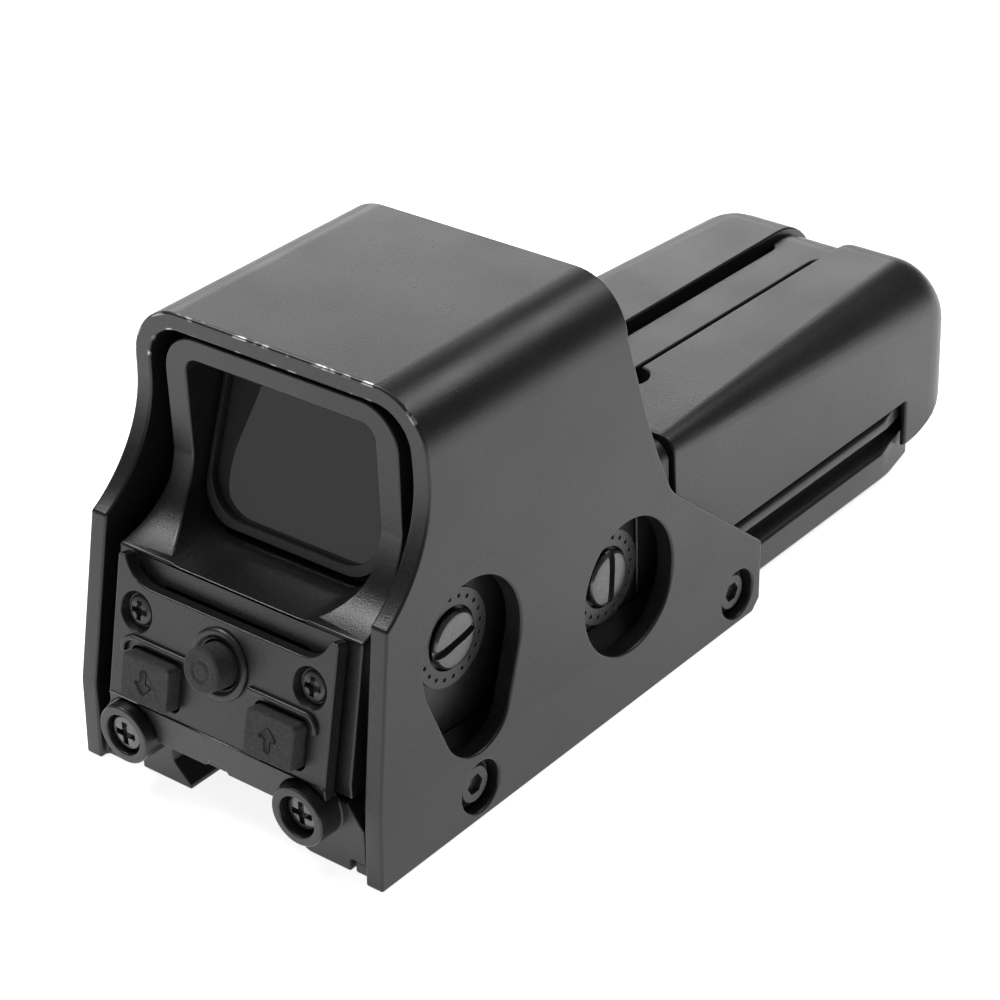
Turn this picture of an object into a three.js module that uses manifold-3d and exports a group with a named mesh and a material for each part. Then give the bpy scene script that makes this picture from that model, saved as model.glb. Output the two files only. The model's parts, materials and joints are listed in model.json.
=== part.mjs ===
// Compact rail-mounted reflex sight with an aluminium hood and a two-cell battery cap.
// Millimetres. +Z up, +Y away from the user's eye, +X to the user's right.
// The origin is the middle of the rail seat, the flat roof of the rail channel.

import * as THREE from 'three';
import { mergeVertices } from 'three/addons/utils/BufferGeometryUtils.js';
import Module from 'manifold-3d';

const wasm = await Module();
wasm.setup();

// ---------------------------------------------------------------- driving dimensions
// Heights are above the hood's bottom edge, depths are from its near bottom corner.
// The finished group is shifted so that the rail seat's middle becomes the origin.

const GAP = 0.3; // clearance between neighbouring pieces

const RAIL = { topWidth: 15.7, width: 21.2, seatHeight: 6.5, footHeight: 0.3 };
const BASE = { nearY: 0.5, splitY: 80.6, farY: 128.2, deckHeight: 10.5, beadTop: 10.8, midY: 62 };
const BASE_CORNER = { nearX: 20.9, nearY: 117.6, farX: 18.75 }; // the far corners are planed off
const HOOD = { halfWidth: 25.4, height: 60.5, wall: 2.8, waist: 10.8, draft: 0.039, radius: 7.5 };
const HOUSING = { halfWidth: 20.2, frameHalf: 18.9, tunnelHalf: 15.3, floor: 31, roof: 54.5 };
const PANEL = { halfWidth: 18.2, bendY: -1.55, bendZ: 12.9, tilt: 0.22, height: 19, thickness: 1.9 };
const WINDOW = { y: 13.9, z: 32.3, tilt: 0.35, height: 23.2, halfWidth: 15 };
const CAP = { halfWidth: 20.9, nearY: 66.2, farY: 138.5, top: 31.2, side: 11.3, bottom: 3.6, wall: 1.6 };
// The cap's end wall, with a nook that the base's far end slides into.
const CAP_END = { innerY: 124.3, topRadius: 10, footRadius: 13, nookHalf: 19.85, roomY: 130, pocketY: 135.5 };
const CHANNEL = { halfWidth: 5.05, floor: 27, wall: 0.9, ceiling: 25.8 };
const LEVER = { halfWidth: 3.45, heelHalf: 4.7, top: 30.2, nearY: 63.2, pivotY: 132, pivotZ: 23.6 };
const LATCH = { notchHalf: 4.2, notchY: 61, notchZ: 26.2, ridgeY: 64.9, ridgeZ: 26.5 };
const CARRIER = { nearY: 58.4, stepY: 65.9, trayY: 68.9, farY: 121.6, floor: 10.9, trayTop: 15.6 };
const NECK = { halfWidth: 18.9, floor: 11.7, top: 24.2, groove: 1.3, grooveY: [66.4, 68] };
const CELL = { radius: 7.1, length: 49.3, x: 9.6, z: 19.2, nearY: 70.9 };
const STUD = { y: 98, z: 6.2, radius: 2.5 };
const BOSS = { x: 14.72, z: 8.51, nearY: -3.22, radius: 4.1, bore: 2.8 };
const HOOD_SCREW = { nearY: 18.9, farY: 74.5, z: 4.7, headRadius: 2.75 };
const ELEVATION = { y: 19.6, z: 24.7 };
const WINDAGE = { y: 50.5, z: 17.9 };

// On the button panel x runs across and z runs up its leaning face from the bend.
const BUTTONS = {
  down: { x: -10.45, z: 4.5, width: 8, height: 6.1, proud: 2.3 },
  up: { x: 10.45, z: 4.5, width: 8, height: 6.1, proud: 2.3 },
  mode: { x: 0, z: 10.2, radius: 2.95, proud: 3.5 },
};
const BUTTON = { flange: 0.7, corner: 0.9, flangeY: 2.1, backY: 2.9 };
const RIDGES = { collar: 4.7, guardHalf: 4.4, guardLow: 8.3, guardHigh: 9 }; // round and over the buttons
const PANEL_SCREW = { x: 14.46, z: 12.2, recess: 2.5 };

const JAW_PLAY = 0.15; // play between the rail's corner and the clamp's groove
const SEAT_RELIEF = 0.4; // how far the roof is cut back beside the rail seat
const JAW = { nearHalf: 16.6, farHalf: 20.8, nearY: 1.3, stepY: 81.8, farY: 124 };
const FIXED_TOOTH = { nearY: 3, footX: 13.4, cheekX: 11.4 }; // the fixed tooth starts behind the near foot

// ---------------------------------------------------------------- solids from shapes

function manifoldOf(geometry) {
  const bare = geometry.clone();
  bare.deleteAttribute('normal');
  bare.deleteAttribute('uv');
  const merged = mergeVertices(bare, 1e-4);
  return new wasm.Manifold(
    new wasm.Mesh({
      numProp: 3,
      vertProperties: new Float32Array(merged.attributes.position.array),
      triVerts: new Uint32Array(merged.index.array),
    }),
  );
}

function geometryOf(manifold) {
  const mesh = manifold.getMesh();
  const geometry = new THREE.BufferGeometry();
  geometry.setAttribute('position', new THREE.BufferAttribute(mesh.vertProperties, 3));
  geometry.setIndex(new THREE.BufferAttribute(mesh.triVerts, 1));
  geometry.computeVertexNormals();
  return geometry;
}

const ALONG_X = new THREE.Matrix4().set(0, 0, 1, 0, 1, 0, 0, 0, 0, 1, 0, 0, 0, 0, 0, 1);
const ALONG_Y = new THREE.Matrix4().set(1, 0, 0, 0, 0, 0, -1, 0, 0, 1, 0, 0, 0, 0, 0, 1);

function extrude(shape, depth, curveSegments) {
  return new THREE.ExtrudeGeometry(shape, { depth, curveSegments, bevelEnabled: false });
}

// A shape drawn in (y, z), swept from x0 to x1.
function sweepX(shape, x0, x1, curveSegments = 8) {
  const geometry = extrude(shape, x1 - x0, curveSegments);
  return manifoldOf(geometry.applyMatrix4(ALONG_X).translate(x0, 0, 0));
}

// A shape drawn in (x, z), swept from y0 to y1.
function sweepY(shape, y0, y1, curveSegments = 8) {
  const geometry = extrude(shape, y1 - y0, curveSegments);
  return manifoldOf(geometry.applyMatrix4(ALONG_Y).translate(0, y1, 0));
}

// A shape drawn in (x, y), swept from z0 to z1.
function sweepZ(shape, z0, z1, curveSegments = 8) {
  return manifoldOf(extrude(shape, z1 - z0, curveSegments).translate(0, 0, z0));
}

function polygon(points) {
  return new THREE.Shape(points.map(([u, v]) => new THREE.Vector2(u, v)));
}

function circle(u, v, radius) {
  return new THREE.Shape().absarc(u, v, radius, 0, 2 * Math.PI, false);
}

// A rectangle whose corners have their own radii: bottom left, bottom right, top right, top left.
function roundRect(u0, u1, v0, v1, [bl, br, tr, tl]) {
  const shape = new THREE.Shape();
  shape.moveTo(u0 + bl, v0);
  shape.lineTo(u1 - br, v0);
  if (br) shape.absarc(u1 - br, v0 + br, br, -Math.PI / 2, 0, false);
  shape.lineTo(u1, v1 - tr);
  if (tr) shape.absarc(u1 - tr, v1 - tr, tr, 0, Math.PI / 2, false);
  shape.lineTo(u0 + tl, v1);
  if (tl) shape.absarc(u0 + tl, v1 - tl, tl, Math.PI / 2, Math.PI, false);
  shape.lineTo(u0, v0 + bl);
  if (bl) shape.absarc(u0 + bl, v0 + bl, bl, Math.PI, 1.5 * Math.PI, false);
  return shape;
}

function box(x0, x1, y0, y1, z0, z1) {
  const geometry = new THREE.BoxGeometry(x1 - x0, y1 - y0, z1 - z0);
  return manifoldOf(geometry.translate((x0 + x1) / 2, (y0 + y1) / 2, (z0 + z1) / 2));
}

const cylinderX = (y, z, radius, x0, x1, sides = 6) => sweepX(circle(y, z, radius), x0, x1, sides);
const cylinderY = (x, z, radius, y0, y1, sides = 6) => sweepY(circle(x, z, radius), y0, y1, sides);

function joined(parts) {
  return parts.reduce((sum, part) => sum.add(part));
}

function mirrored(manifold) {
  const geometry = geometryOf(manifold).scale(-1, 1, 1);
  const order = geometry.index.array;
  for (let i = 0; i < order.length; i += 3) {
    [order[i], order[i + 1]] = [order[i + 1], order[i]];
  }
  return manifoldOf(geometry);
}

// ---------------------------------------------------------------- materials

const LOOKS = {
  anodised: { color: 0x2b2b2d, roughness: 0.5, metalness: 0.6 },
  moulded: { color: 0x1c1c1e, roughness: 0.6, metalness: 0.1 },
  rubber: { color: 0x262626, roughness: 0.85, metalness: 0 },
  blackSteel: { color: 0x18181a, roughness: 0.25, metalness: 0.9 },
  bareSteel: { color: 0xb4b6b8, roughness: 0.3, metalness: 1 },
  brass: { color: 0xb98f4a, roughness: 0.35, metalness: 1 },
  glass: { color: 0x3a3c3e, roughness: 0.05, metalness: 0 },
  board: { color: 0x1f4a2c, roughness: 0.6, metalness: 0.1 },
  cell: { color: 0x3d5a80, roughness: 0.35, metalness: 0.4 },
};

function piece(name, manifold, look) {
  const material = new THREE.MeshStandardMaterial(LOOKS[look]);
  const mesh = new THREE.Mesh(geometryOf(manifold), material);
  mesh.name = name;
  return mesh;
}

// ---------------------------------------------------------------- hood

function hoodSection(halfWidth, height, radius) {
  const topHalf = halfWidth - HOOD.draft * (height - HOOD.waist);
  const shoulder = halfWidth - HOOD.draft * (height - radius - HOOD.waist);
  const shape = new THREE.Shape();
  shape.moveTo(-halfWidth, 0);
  shape.lineTo(halfWidth, 0);
  shape.lineTo(halfWidth, HOOD.waist);
  shape.lineTo(shoulder, height - radius);
  shape.quadraticCurveTo(topHalf, height, topHalf - radius, height);
  shape.lineTo(radius - topHalf, height);
  shape.quadraticCurveTo(-topHalf, height, -shoulder, height - radius);
  shape.lineTo(-halfWidth, HOOD.waist);
  return shape;
}

// Seen from the side: the near edge leans back, sweeps up in an S, and the far edge steps down.
function hoodProfile() {
  const shape = new THREE.Shape();
  shape.moveTo(-0.3, 0);
  shape.lineTo(0.25, 11.2);
  shape.lineTo(4.4, 34.6);
  shape.bezierCurveTo(8.8, 37.3, 13.84, 43, 13.84, 50.5);
  shape.lineTo(13.84, HOOD.height);
  shape.lineTo(52.7, HOOD.height);
  shape.lineTo(52.7, 52.6);
  shape.bezierCurveTo(54.6, 45.5, 56.6, 36, 60.5, 27.3);
  shape.lineTo(80.2, 10.5);
  shape.lineTo(79.9, 1.5);
  shape.lineTo(78.2, 0);
  return shape;
}

// The outline of two circles, one above the other, and their common tangents.
function teardrop(y, upperZ, upperRadius, lowerZ, lowerRadius) {
  const lean = Math.asin((lowerRadius - upperRadius) / (upperZ - lowerZ));
  const shape = new THREE.Shape();
  shape.absarc(y, upperZ, upperRadius, lean, Math.PI - lean, false);
  shape.absarc(y, lowerZ, lowerRadius, Math.PI - lean, 2 * Math.PI + lean, false);
  return shape;
}

function makeHood() {
  const inner = HOOD.halfWidth - HOOD.wall;
  const headRoom = HOOD.height - 2.5;
  const shell = sweepY(hoodSection(HOOD.halfWidth, HOOD.height, HOOD.radius), -1, 81)
    .subtract(sweepY(hoodSection(inner, headRoom, HOOD.radius - HOOD.wall), -2, 82));
  const lips = [-1, 1].map((side) => {
    const [x0, x1] = [side * 19.9, side * (inner + 0.1)].sort((a, b) => a - b);
    return box(x0, x1, 1, 77, 0.2, 1.9);
  });
  const body = joined([shell, ...lips]).intersect(sweepX(hoodProfile(), -26, 26, 10));
  const adjusterHoles = [
    sweepX(teardrop(19.25, 24.7, 9.3, 16.2, 6.3), 15, 27, 14),
    cylinderX(WINDAGE.y, WINDAGE.z, 9.4, 15, 27, 14),
  ];
  const screwHoles = [];
  for (const y of [HOOD_SCREW.nearY, HOOD_SCREW.farY]) {
    for (const side of [-1, 1]) {
      const seat = [side * 23.2, side * 26].sort((a, b) => a - b);
      const shank = [side * 20, side * 26].sort((a, b) => a - b);
      screwHoles.push(cylinderX(y, HOOD_SCREW.z, 3.57, ...seat, 5));
      screwHoles.push(cylinderX(y, HOOD_SCREW.z, 1.8, ...shank, 3));
    }
  }
  return piece('hood', body.subtract(joined([...adjusterHoles, ...screwHoles])), 'anodised');
}

// ---------------------------------------------------------------- rail clamp

// Where the clamp's groove passes the rail's widest corner, and where its tooth ends.
const cornerZ = RAIL.seatHeight - (RAIL.width - RAIL.topWidth) / 2;
const grooveX = RAIL.width / 2 + JAW_PLAY;
const toothX = RAIL.topWidth / 2 + JAW_PLAY;
const toothZ = cornerZ - (grooveX - toothX);

// The fixed jaw, then the land that the rail seats on, with a relief on each side of it.
function fixedJawSection() {
  const land = RAIL.topWidth / 2;
  const relief = RAIL.seatHeight + SEAT_RELIEF;
  return [
    [19.6, RAIL.footHeight],
    [toothX, RAIL.footHeight],
    [toothX, toothZ],
    [grooveX, cornerZ],
    [grooveX, relief],
    [land, relief],
    [land, RAIL.seatHeight],
    [-land, RAIL.seatHeight],
    [-land, relief],
  ];
}

// Under the hood: a flange on each side that the hood's lips hook under.
function nearBaseSection() {
  const flange = HOOD.halfWidth - HOOD.wall - GAP;
  return polygon([
    [19.6, 2.2], ...fixedJawSection(),
    [-20.6, RAIL.seatHeight + SEAT_RELIEF], [-20.6, 2.2], [-flange, 2.2], [-flange, 7.3],
    [-19.8, BASE.deckHeight], [19.8, BASE.deckHeight], [flange, 7.3], [flange, 2.2],
  ]);
}

// Past the hood: a rounded bead, a groove and a lower side face.
function farBaseSection() {
  const side = [[18.5, BASE.beadTop], [20.4, 10.6], [20.8, 9.6], [20.2, 8.5], [18.8, 7.6]];
  const left = side.map(([x, z]) => [-x, z]).reverse();
  return polygon([
    ...side, [18.3, 6.6], [18.7, 5.7], [20.4, 5.4], [20.8, 5], [20.8, 1], [20.2, RAIL.footHeight],
    ...fixedJawSection().slice(1),
    [-18.3, RAIL.seatHeight + SEAT_RELIEF], ...left, [-18.2, BASE.deckHeight], [18.2, BASE.deckHeight],
  ].reverse());
}

// In front of the fixed tooth the near foot is clear of the rail, with a rounded inner toe.
function nearToeTrim() {
  const { nearY, footX, cheekX } = FIXED_TOOTH;
  const ceiling = RAIL.seatHeight + SEAT_RELIEF;
  const shape = new THREE.Shape();
  shape.moveTo(RAIL.topWidth / 2, -1);
  shape.lineTo(footX, -1);
  shape.lineTo(footX, RAIL.footHeight);
  shape.quadraticCurveTo(cheekX, RAIL.footHeight, cheekX, 2.3);
  shape.lineTo(cheekX, ceiling);
  shape.lineTo(RAIL.topWidth / 2, ceiling);
  return sweepY(shape, BASE.nearY - 1, nearY, 5);
}

function cornerTrim(side) {
  const { nearX, nearY, farX } = BASE_CORNER;
  const endY = BASE.farY + 0.1;
  const points = [[nearX, nearY], [farX, endY], [nearX + 1, endY], [nearX + 1, nearY]];
  return sweepZ(polygon(points.map(([x, y]) => [side * x, y])), -1, 12);
}

function makeMountBase() {
  const beam = joined([
    sweepY(nearBaseSection(), BASE.nearY, BASE.splitY),
    sweepY(farBaseSection(), BASE.splitY, BASE.farY),
  ]);
  const bosses = [-1, 1].map((s) => cylinderY(s * BOSS.x, BOSS.z, BOSS.radius, BOSS.nearY, 1));
  const cuts = [
    ...[-1, 1].map((s) => cylinderY(s * BOSS.x, BOSS.z, BOSS.bore, BOSS.nearY - 1, 1.2, 5)),
    ...[-1, 1].map((s) => cylinderY(s * BOSS.x, BOSS.z, 1.7, 0, 7, 3)),
    cylinderX(STUD.y, STUD.z, STUD.radius + 0.4, -25, 15.8, 4),
    ...[HOOD_SCREW.nearY, HOOD_SCREW.farY].map((y) => cylinderX(y, HOOD_SCREW.z, 1.75, 16.6, 24, 3)),
    ...[HOOD_SCREW.nearY, HOOD_SCREW.farY].map((y) => cylinderX(y, HOOD_SCREW.z, 1.75, -24, -20, 3)),
    cornerTrim(1), cornerTrim(-1), nearToeTrim(),
  ];
  return piece('mount_base', joined([beam, ...bosses]).subtract(joined(cuts)), 'anodised');
}

function jawSection(outerX) {
  const top = RAIL.seatHeight - GAP;
  return polygon([
    [-outerX, RAIL.footHeight], [-toothX, RAIL.footHeight], [-toothX, toothZ],
    [-grooveX, cornerZ], [-grooveX, top], [-outerX, top],
  ]);
}

function makeMovableJaw() {
  const bar = joined([
    sweepY(jawSection(JAW.nearHalf), JAW.nearY, JAW.stepY),
    sweepY(jawSection(JAW.farHalf), JAW.stepY, JAW.farY),
  ]);
  const boltWay = cylinderX(STUD.y, STUD.z, STUD.radius + 0.4, -25, 0, 4);
  return piece('movable_jaw', bar.subtract(boltWay).subtract(cornerTrim(-1)), 'anodised');
}

function makeClampStud() {
  return piece('clamp_stud', cylinderX(STUD.y, STUD.z, STUD.radius, -28.6, 15.4, 5), 'blackSteel');
}

function makeClampNut() {
  const lobes = 20;
  const points = [];
  for (let i = 0; i < 2 * lobes; i += 1) {
    const radius = i % 2 ? 5.2 : 5.8;
    const angle = (i * Math.PI) / lobes;
    points.push([STUD.y + radius * Math.cos(angle), STUD.z + radius * Math.sin(angle)]);
  }
  const knob = sweepX(polygon(points), -27.4, -22.4).add(cylinderX(STUD.y, STUD.z, 4.6, -22.4, -21.1));
  return piece('clamp_nut', knob.subtract(cylinderX(STUD.y, STUD.z, 2.8, -29, -20, 5)), 'blackSteel');
}

// ---------------------------------------------------------------- optical housing and windows

// Seen from the side: behind the button panel, up in an S to the window frame, back over the roof.
function housingProfile() {
  const shape = new THREE.Shape();
  shape.moveTo(1, 10.9);
  shape.lineTo(1, 13);
  shape.lineTo(4.9, HOUSING.floor + 0.2);
  shape.bezierCurveTo(8.6, 32, 13, 33.8, 14.2, 41);
  shape.lineTo(14.2, 57.5);
  shape.lineTo(52, 57.5);
  shape.lineTo(52, 50);
  shape.bezierCurveTo(54, 44, 55.5, 36, 58, 30);
  shape.lineTo(58, 10.9);
  return shape;
}

function housingSection() {
  const { halfWidth, frameHalf, floor } = HOUSING;
  const shape = new THREE.Shape();
  shape.moveTo(-halfWidth, 10);
  shape.lineTo(halfWidth, 10);
  shape.lineTo(halfWidth, floor);
  shape.lineTo(frameHalf, 37);
  shape.lineTo(frameHalf, 52);
  shape.absarc(frameHalf - 5.5, 52, 5.5, 0, Math.PI / 2, false);
  shape.absarc(5.5 - frameHalf, 52, 5.5, Math.PI / 2, Math.PI, false);
  shape.lineTo(-frameHalf, 37);
  shape.lineTo(-halfWidth, floor);
  return shape;
}

function makeOpticalHousing() {
  const { tunnelHalf, floor, roof } = HOUSING;
  const body = sweepX(housingProfile(), -21, 21, 8).intersect(sweepY(housingSection(), 0, 59, 6));
  const tunnel = sweepY(roundRect(-tunnelHalf, tunnelHalf, floor, roof, [5, 5, 2, 2]), -2, 60, 5);
  const cavity = box(-17.6, 17.6, 11, 56.2, 10, 28.8);
  const boardBay = box(-16.6, 16.6, -5, 12, 10, 22.4).add(box(-11.9, 11.9, -5, 12, 22, 27.8));
  const mouths = [ELEVATION, WINDAGE].map(({ y, z }) => cylinderX(y, z, 3, 16, 22, 4));
  const screwTaps = [-1, 1].map((s) => {
    return leaned(cylinderY(s * PANEL_SCREW.x, PANEL_SCREW.z, 1.3, 1, 6, 3));
  });
  const cuts = joined([tunnel, cavity, boardBay, ...mouths, ...screwTaps]);
  return piece('optical_housing', body.subtract(cuts), 'anodised');
}

// Built upright and leaned back by its group.
function makeRearWindow() {
  const { halfWidth, height, y, z, tilt } = WINDOW;
  const frame = sweepY(roundRect(-halfWidth, halfWidth, 0, height, [5.6, 5.6, 2, 2]), 0, 1, 5)
    .subtract(sweepY(roundRect(-14.3, 14.3, 1.2, height - 0.6, [6, 6, 3, 3]), -1, 2, 5));
  const pane = sweepY(roundRect(-halfWidth, halfWidth, 0.2, height - 0.2, [5.6, 5.6, 2, 2]), 1.3, 2.9, 5);
  const group = new THREE.Group();
  group.position.set(0, y, z);
  group.rotation.x = -tilt;
  group.add(piece('rear_window_bezel', frame, 'moulded'), piece('rear_window', pane, 'glass'));
  return group;
}

function makeFrontWindow() {
  const outline = roundRect(-15, 15, 31.3, 54.2, [5, 5, 2, 2]);
  const opening = roundRect(-13.8, 13.8, 32.5, 53, [5, 5, 2, 2]);
  const bezel = sweepY(outline, 48.3, 50, 5).subtract(sweepY(opening, 47, 51, 5));
  return [
    piece('front_window', sweepY(outline, 46.4, 48, 5), 'glass'),
    piece('front_window_bezel', bezel, 'moulded'),
  ];
}

// ---------------------------------------------------------------- button panel
// The panel's group stands on the bend line and leans back: local x is across the panel,
// local y goes into it and local z runs up its face.

function buttonOutline({ x, z, width, height, radius }, extra) {
  if (radius) return circle(x, z, radius + extra);
  const corner = BUTTON.corner + extra;
  const [halfW, halfH] = [width / 2 + extra, height / 2 + extra];
  return roundRect(x - halfW, x + halfW, z - halfH, z + halfH, [corner, corner, corner, corner]);
}

// The top edge is cut down between two raised ears.
function panelFace() {
  const { halfWidth, height } = PANEL;
  const shape = new THREE.Shape();
  shape.moveTo(-halfWidth, 0);
  shape.lineTo(halfWidth, 0);
  shape.lineTo(halfWidth, height);
  shape.lineTo(17, height);
  shape.bezierCurveTo(15.8, 16.4, 14, 15.8, 12, 15.8);
  shape.lineTo(-12, 15.8);
  shape.bezierCurveTo(-14, 15.8, -15.8, 16.4, -17, height);
  shape.lineTo(-halfWidth, height);
  return shape;
}

function makeButtonPanel() {
  const { collar, guardHalf, guardLow, guardHigh } = RIDGES;
  const ring = sweepY(circle(0, BUTTONS.mode.z, collar), -0.6, 0.5);
  const guards = [BUTTONS.down, BUTTONS.up].map(({ x }) => {
    return box(x - guardHalf, x + guardHalf, -0.5, 0.3, guardLow, guardHigh);
  });
  const plate = joined([sweepY(panelFace(), 0, PANEL.thickness), ring, ...guards]);
  const cuts = Object.values(BUTTONS).map((b) => sweepY(buttonOutline(b, GAP), -2, 4, 5));
  for (const side of [-1, 1]) {
    cuts.push(cylinderY(side * PANEL_SCREW.x, PANEL_SCREW.z, PANEL_SCREW.recess, -1, 1.2, 4));
    cuts.push(cylinderY(side * PANEL_SCREW.x, PANEL_SCREW.z, 1.4, 0, 3, 3));
  }
  return plate.subtract(joined(cuts));
}

// The vertical strip below the bend.
function makePanelApron() {
  const { halfWidth, bendY, bendZ } = PANEL;
  const outline = polygon([
    [-halfWidth, 8.3], [-1.9, 8.3], [-1.4, 9.2], [1.4, 9.2], [1.9, 8.3], [halfWidth, 8.3],
    [halfWidth, bendZ + 0.2], [-halfWidth, bendZ + 0.2],
  ]);
  return sweepY(outline, bendY, 0.2);
}

function leaned(manifold) {
  const lean = new THREE.Matrix4().makeRotationX(-PANEL.tilt);
  lean.setPosition(0, PANEL.bendY, PANEL.bendZ);
  return manifoldOf(geometryOf(manifold).applyMatrix4(lean));
}

function makeWholePanel() {
  const bossWays = [-1, 1].map((s) => cylinderY(s * BOSS.x, BOSS.z, BOSS.radius + GAP, -5, 5));
  const panel = leaned(makeButtonPanel()).add(makePanelApron()).subtract(joined(bossWays));
  return piece('button_panel', panel, 'anodised');
}

function makeButton(name, button) {
  const { flange, flangeY, backY } = BUTTON;
  const cap = sweepY(buttonOutline(button, 0), -button.proud, flangeY, 5);
  return piece(name, cap.add(sweepY(buttonOutline(button, flange), flangeY, backY, 5)), 'rubber');
}

function phillipsScrew(x, z, headRadius, y0, y1, shankEnd) {
  const recess = [box(x - 1.5, x + 1.5, y0 - 1, y0 + 0.7, z - 0.35, z + 0.35),
    box(x - 0.35, x + 0.35, y0 - 1, y0 + 0.7, z - 1.5, z + 1.5)];
  const head = cylinderY(x, z, headRadius, y0, y1, 5).subtract(joined(recess));
  return head.add(cylinderY(x, z, 1, y1 - 0.2, shankEnd, 3));
}

function makePanelGroup() {
  const group = new THREE.Group();
  group.position.set(0, PANEL.bendY, PANEL.bendZ);
  group.rotation.x = -PANEL.tilt;
  const sheet = polygon([
    [-15.2, 0.8], [15.2, 0.8], [15.2, 8.9], [11.4, 8.9], [11.4, 14.2],
    [-11.4, 14.2], [-11.4, 8.9], [-15.2, 8.9],
  ]);
  for (const [key, button] of Object.entries(BUTTONS)) {
    const dome = cylinderY(button.x, button.z, 1.8, 4.7, 5.1, 3);
    group.add(makeButton(`button_${key}`, button));
    group.add(piece(`switch_dome_${key}`, dome, 'bareSteel'));
  }
  group.add(piece('keypad_membrane', sweepY(sheet, 3.7, 4.4), 'rubber'));
  group.add(piece('circuit_board', sweepY(sheet, 5.4, 6.6), 'board'));
  for (const [side, name] of [[-1, 'panel_screw_left'], [1, 'panel_screw_right']]) {
    const screw = phillipsScrew(side * PANEL_SCREW.x, PANEL_SCREW.z, 2.1, 0.4, 1.1, 5.4);
    group.add(piece(name, screw, 'blackSteel'));
  }
  return group;
}

// ---------------------------------------------------------------- fasteners

function makeHoodScrew(name, side, y) {
  const [inner, outer] = [23.3, 24.4];
  const end = side > 0 ? 17.2 : 20.9;
  const hexagon = new THREE.Shape(
    [0, 1, 2, 3, 4, 5].map((i) => {
      const angle = (i * Math.PI) / 3;
      return new THREE.Vector2(y + 1.44 * Math.cos(angle), HOOD_SCREW.z + 1.44 * Math.sin(angle));
    }),
  );
  const head = cylinderX(y, HOOD_SCREW.z, HOOD_SCREW.headRadius, inner, outer, 5)
    .subtract(sweepX(hexagon, inner + 0.4, outer + 1));
  const screw = head.add(cylinderX(y, HOOD_SCREW.z, 1.4, end, inner, 3));
  return piece(name, side > 0 ? screw : mirrored(screw), 'blackSteel');
}

function makeFasteners() {
  const parts = [];
  for (const [side, sideName] of [[-1, 'left'], [1, 'right']]) {
    parts.push(makeHoodScrew(`hood_screw_near_${sideName}`, side, HOOD_SCREW.nearY));
    parts.push(makeHoodScrew(`hood_screw_far_${sideName}`, side, HOOD_SCREW.farY));
    const headY = side < 0 ? -2.5 : -1.6;
    const screw = phillipsScrew(side * BOSS.x, BOSS.z, 2.4, headY, headY + 1.5, 6);
    parts.push(piece(`base_screw_${sideName}`, screw, 'blackSteel'));
  }
  return parts;
}

// ---------------------------------------------------------------- adjusters and light path

function makeAdjuster(name, { y, z }, shankEnd, slotAlongZ) {
  const head = cylinderX(y, z, 3.9, 20.9, 22.2, 5);
  const shank = cylinderX(y, z, 2.4, shankEnd, 20.9, 5);
  const [halfY, halfZ] = slotAlongZ ? [0.5, 5] : [5, 0.5];
  const slot = box(21.4, 23, y - halfY, y + halfY, z - halfZ, z + halfZ);
  return piece(`${name}_screw`, head.subtract(slot).add(shank), 'blackSteel');
}

function makeClickPlate(name, { y, z }, outer) {
  const ring = cylinderX(y, z, outer, 20.5, 21.1, 6).subtract(cylinderX(y, z, 4.3, 20, 22, 5));
  return piece(`${name}_click_plate`, ring, 'blackSteel');
}

function makeLightPath() {
  const windageBlock = box(-9, 9, 44.8, 55.6, 13.4, 22.4)
    .subtract(cylinderX(WINDAGE.y, WINDAGE.z, 2.8, 5, 10, 4));
  const elevationBlock = box(-9, 9, 14.6, 25, 17.4, 26.4);
  const lens = new THREE.LatheGeometry(
    [[0, 0], [3.6, 0], [3.6, 1.2], [2.4, 1.7], [0, 2]].map(([r, h]) => new THREE.Vector2(r, h)), 16);
  const lensSolid = manifoldOf(lens.translate(0, 25.3, 0)).translate([0, 0, 21.5]);
  return [
    piece('windage_carriage', windageBlock, 'moulded'),
    piece('led_emitter', cylinderY(0, 18, 2, 40.4, 44.5, 4), 'brass'),
    piece('elevation_carriage', elevationBlock, 'moulded'),
    piece('collimator_lens', lensSolid, 'glass'),
  ];
}

// ---------------------------------------------------------------- battery compartment

function makeBatteryCarrier() {
  const { nearY, stepY, trayY, farY, floor: low, trayTop } = CARRIER;
  const { halfWidth, floor, top, groove, grooveY: [y0, y1] } = NECK;
  const trayHalf = halfWidth - GAP;
  const bulkhead = sweepY(roundRect(-20.3, 20.3, low, 30.7, [0.5, 0.5, 3, 3]), nearY, stepY, 4);
  const neck = box(-halfWidth, halfWidth, stepY - 0.1, trayY + 0.1, floor, top);
  const tray = box(-trayHalf, trayHalf, trayY, farY, low, trayTop);
  const sealGroove = box(-20, 20, y0, y1, low, top + 1)
    .subtract(box(groove - halfWidth, halfWidth - groove, y0 - 1, y1 + 1, floor + groove, top - groove));
  const cuts = [
    ...[-1, 1].map((s) => cylinderY(s * CELL.x, CELL.z, CELL.radius + GAP, CELL.nearY - GAP, farY + 1, 8)),
    box(-LATCH.notchHalf, LATCH.notchHalf, LATCH.notchY, LATCH.ridgeY, LATCH.notchZ, 32),
    box(-LATCH.notchHalf, LATCH.notchHalf, LATCH.ridgeY, stepY + 1, LATCH.ridgeZ, 32),
    sealGroove,
  ];
  return piece('battery_carrier', joined([bulkhead, neck, tray]).subtract(joined(cuts)), 'moulded');
}

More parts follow.
